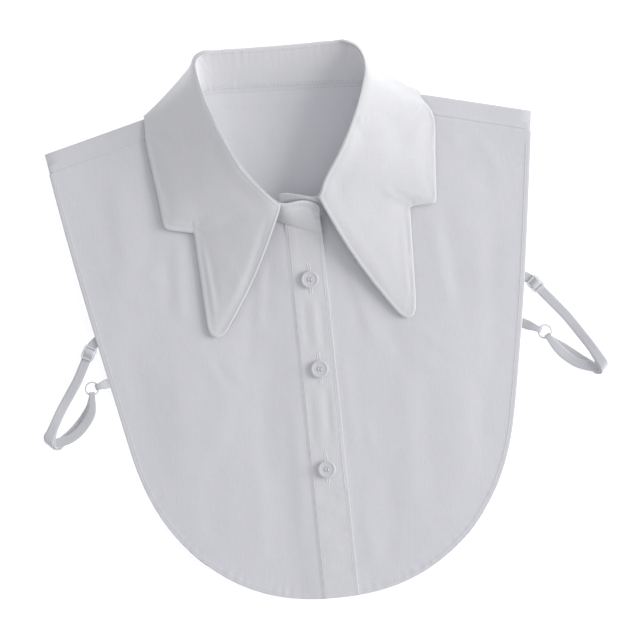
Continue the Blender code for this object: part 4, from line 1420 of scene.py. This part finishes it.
def cotton(name, deep, pale):
    finish = Finish(name, Roughness=0.9, Sheen_Weight=0.12, Sheen_Roughness=0.6,
                    Specular_IOR_Level=0.25)
    coordinates, (x, y, _) = finish.place()
    turn = math.tau / THREAD_PITCH
    weave = (x * turn).sine() * (y * turn).sine()
    warp, weft = (
        finish.node("ShaderNodeTexNoise", Scale=1.0, Detail=2.0,
                    Vector=finish.node("ShaderNodeMapping", Vector=coordinates, Scale=scale))
        for scale in (WARP_SCALE, WEFT_SCALE))
    soft = finish.node("ShaderNodeTexNoise", Vector=coordinates, Scale=SLOW_SCALE, Detail=3.0)
    threads = warp * 0.6 + weft * 0.4
    finish.set("Base Color", finish.blend(threads * 0.6 + soft * 0.4, deep, pale))
    finish.bump(weave * 0.10 + threads * 0.5 + soft * 1.3, 0.28 * MM, 0.9)
    return finish.material


shirting = cotton("shirting_cotton", COTTON_DEEP, COTTON_PALE)
doubled = cotton("doubled_cotton", DOUBLED_DEEP, DOUBLED_PALE)
for name, piece in shells.items():
    if name in DOUBLED:
        piece.data.materials.append(doubled)
    elif not name.startswith(("strap", "ring")):
        piece.data.materials.append(shirting)
# The beads are a plain grey: painted shade of the needle holes.
hole_shade_beads.data.materials.append(Finish("painted_hole_shade_grey", Base_Color=(0.45, 0.45, 0.48, 1),
                                  Roughness=0.95).material)

thread = Finish("sewing_thread", Base_Color=(0.84, 0.84, 0.87, 1), Roughness=0.55,
                Sheen_Weight=0.1, Specular_IOR_Level=0.35).material
for piece in rows:
    piece.data.materials.append(thread)
print("cotton on", sum(len(s.data.materials) for s in shells.values()), "pieces")

# %% [markdown]
# Elastic and plastic
#
# The straps are woven elastic: rubber cores make fine ribs along them and the weft makes a
# close tooth across. Rings and sliders are coated in white plastic and the buttons are
# cast resin, smooth enough for a soft highlight.

# %% Elastic and plastic
RIB_PITCH = 0.9 * MM
RIB_TURN, TOOTH_TURN = 0.707, 1.4  # the ribs and the finer tooth both cross X and Y at a slant
MOTTLE_SCALE = 900.0
ELASTIC_DEEP = (0.70, 0.71, 0.735, 1)
ELASTIC_PALE = (0.79, 0.79, 0.815, 1)


def elastic(name):
    finish = Finish(name, Roughness=0.75, Sheen_Weight=0.15, Specular_IOR_Level=0.3)
    coordinates, (x, y, _) = finish.place()
    turn = math.tau / RIB_PITCH
    ribs = ((x + y) * turn * RIB_TURN).sine() * 0.5
    ribs += ((x - y) * turn * TOOTH_TURN).sine() * 0.25
    mottle = finish.node("ShaderNodeTexNoise", Vector=coordinates, Scale=MOTTLE_SCALE, Detail=2.0)
    finish.set("Base Color", finish.blend(mottle, ELASTIC_DEEP, ELASTIC_PALE))
    finish.bump(ribs + mottle, 0.16 * MM, 0.8)
    return finish.material


def plastic(name, colour, roughness):
    return Finish(name, Base_Color=colour, Roughness=roughness, Coat_Weight=0.25,
                  Coat_Roughness=0.15, Specular_IOR_Level=0.5).material


webbing = elastic("ribbed_elastic")
coated = plastic("coated_fittings", (0.80, 0.81, 0.84, 1), 0.34)
resin = plastic("cast_resin", (0.74, 0.74, 0.77, 1), 0.32)
for name, piece in shells.items():
    if name.startswith("strap"):
        piece.data.materials.append(webbing)
    elif name.startswith("ring"):
        piece.data.materials.append(coated)
for piece in buttons:
    piece.data.materials.clear()
    piece.data.materials.append(resin)
for name in ("slider_left", "slider_right"):
    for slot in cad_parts[name].material_slots:
        slot.material = coated

white_table = Finish("white_table", Base_Color=(0.95, 0.95, 0.95, 1), Roughness=0.9,
                     Emission_Color=(1, 1, 1, 1), Emission_Strength=0.5).material
table.data.materials.append(white_table)
print("elastic, plastic and table done")

# %% [markdown]
# What each piece stands for
#
# Each shell rides on the part's one body and takes the place of its solid. The size that
# every sheet of cloth is cut to, without its turnings, is listed, and each shell's cloth area
# is printed.

# %% What each piece stands for
for name, piece in shells.items():
    slot = "cotton"
    if name.startswith("strap"):
        slot = "elastic"
    elif name.startswith("ring"):
        slot = "plastic"
    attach(piece, "root")
    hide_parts(name)


def cloth_area(piece):
    return sum(face.area for face in piece.data.polygons) / 2


# In metres and square metres; the cloth that a piece rests on comes last
CUTS = {
    "back_panel": ((0.345, 0.376), 0.0995, "laid", []),
    "front_right": ((0.188, 0.342), 0.0462, "laid", ["back_panel"]),
    "front_left": ((0.180, 0.340), 0.0452, "laid", ["back_panel"]),
    "placket": ((0.0262, 0.262), 0.00676, "laid", ["front_right"]),
    "collar_stand": ((0.400, 0.034), 0.0100, "folded", ["front_right", "front_left"]),
    "collar_leaf": ((0.460, 0.150), 0.0300, "folded", ["collar_stand"]),
    "neck_facing": ((0.124, 0.0145), 0.00175, "laid", ["back_panel"]),
}
for name, (flat, area, held, under) in CUTS.items():
    print(f"{name}: {cloth_area(shells[name]) * 1e4:.1f} square cm of cloth")
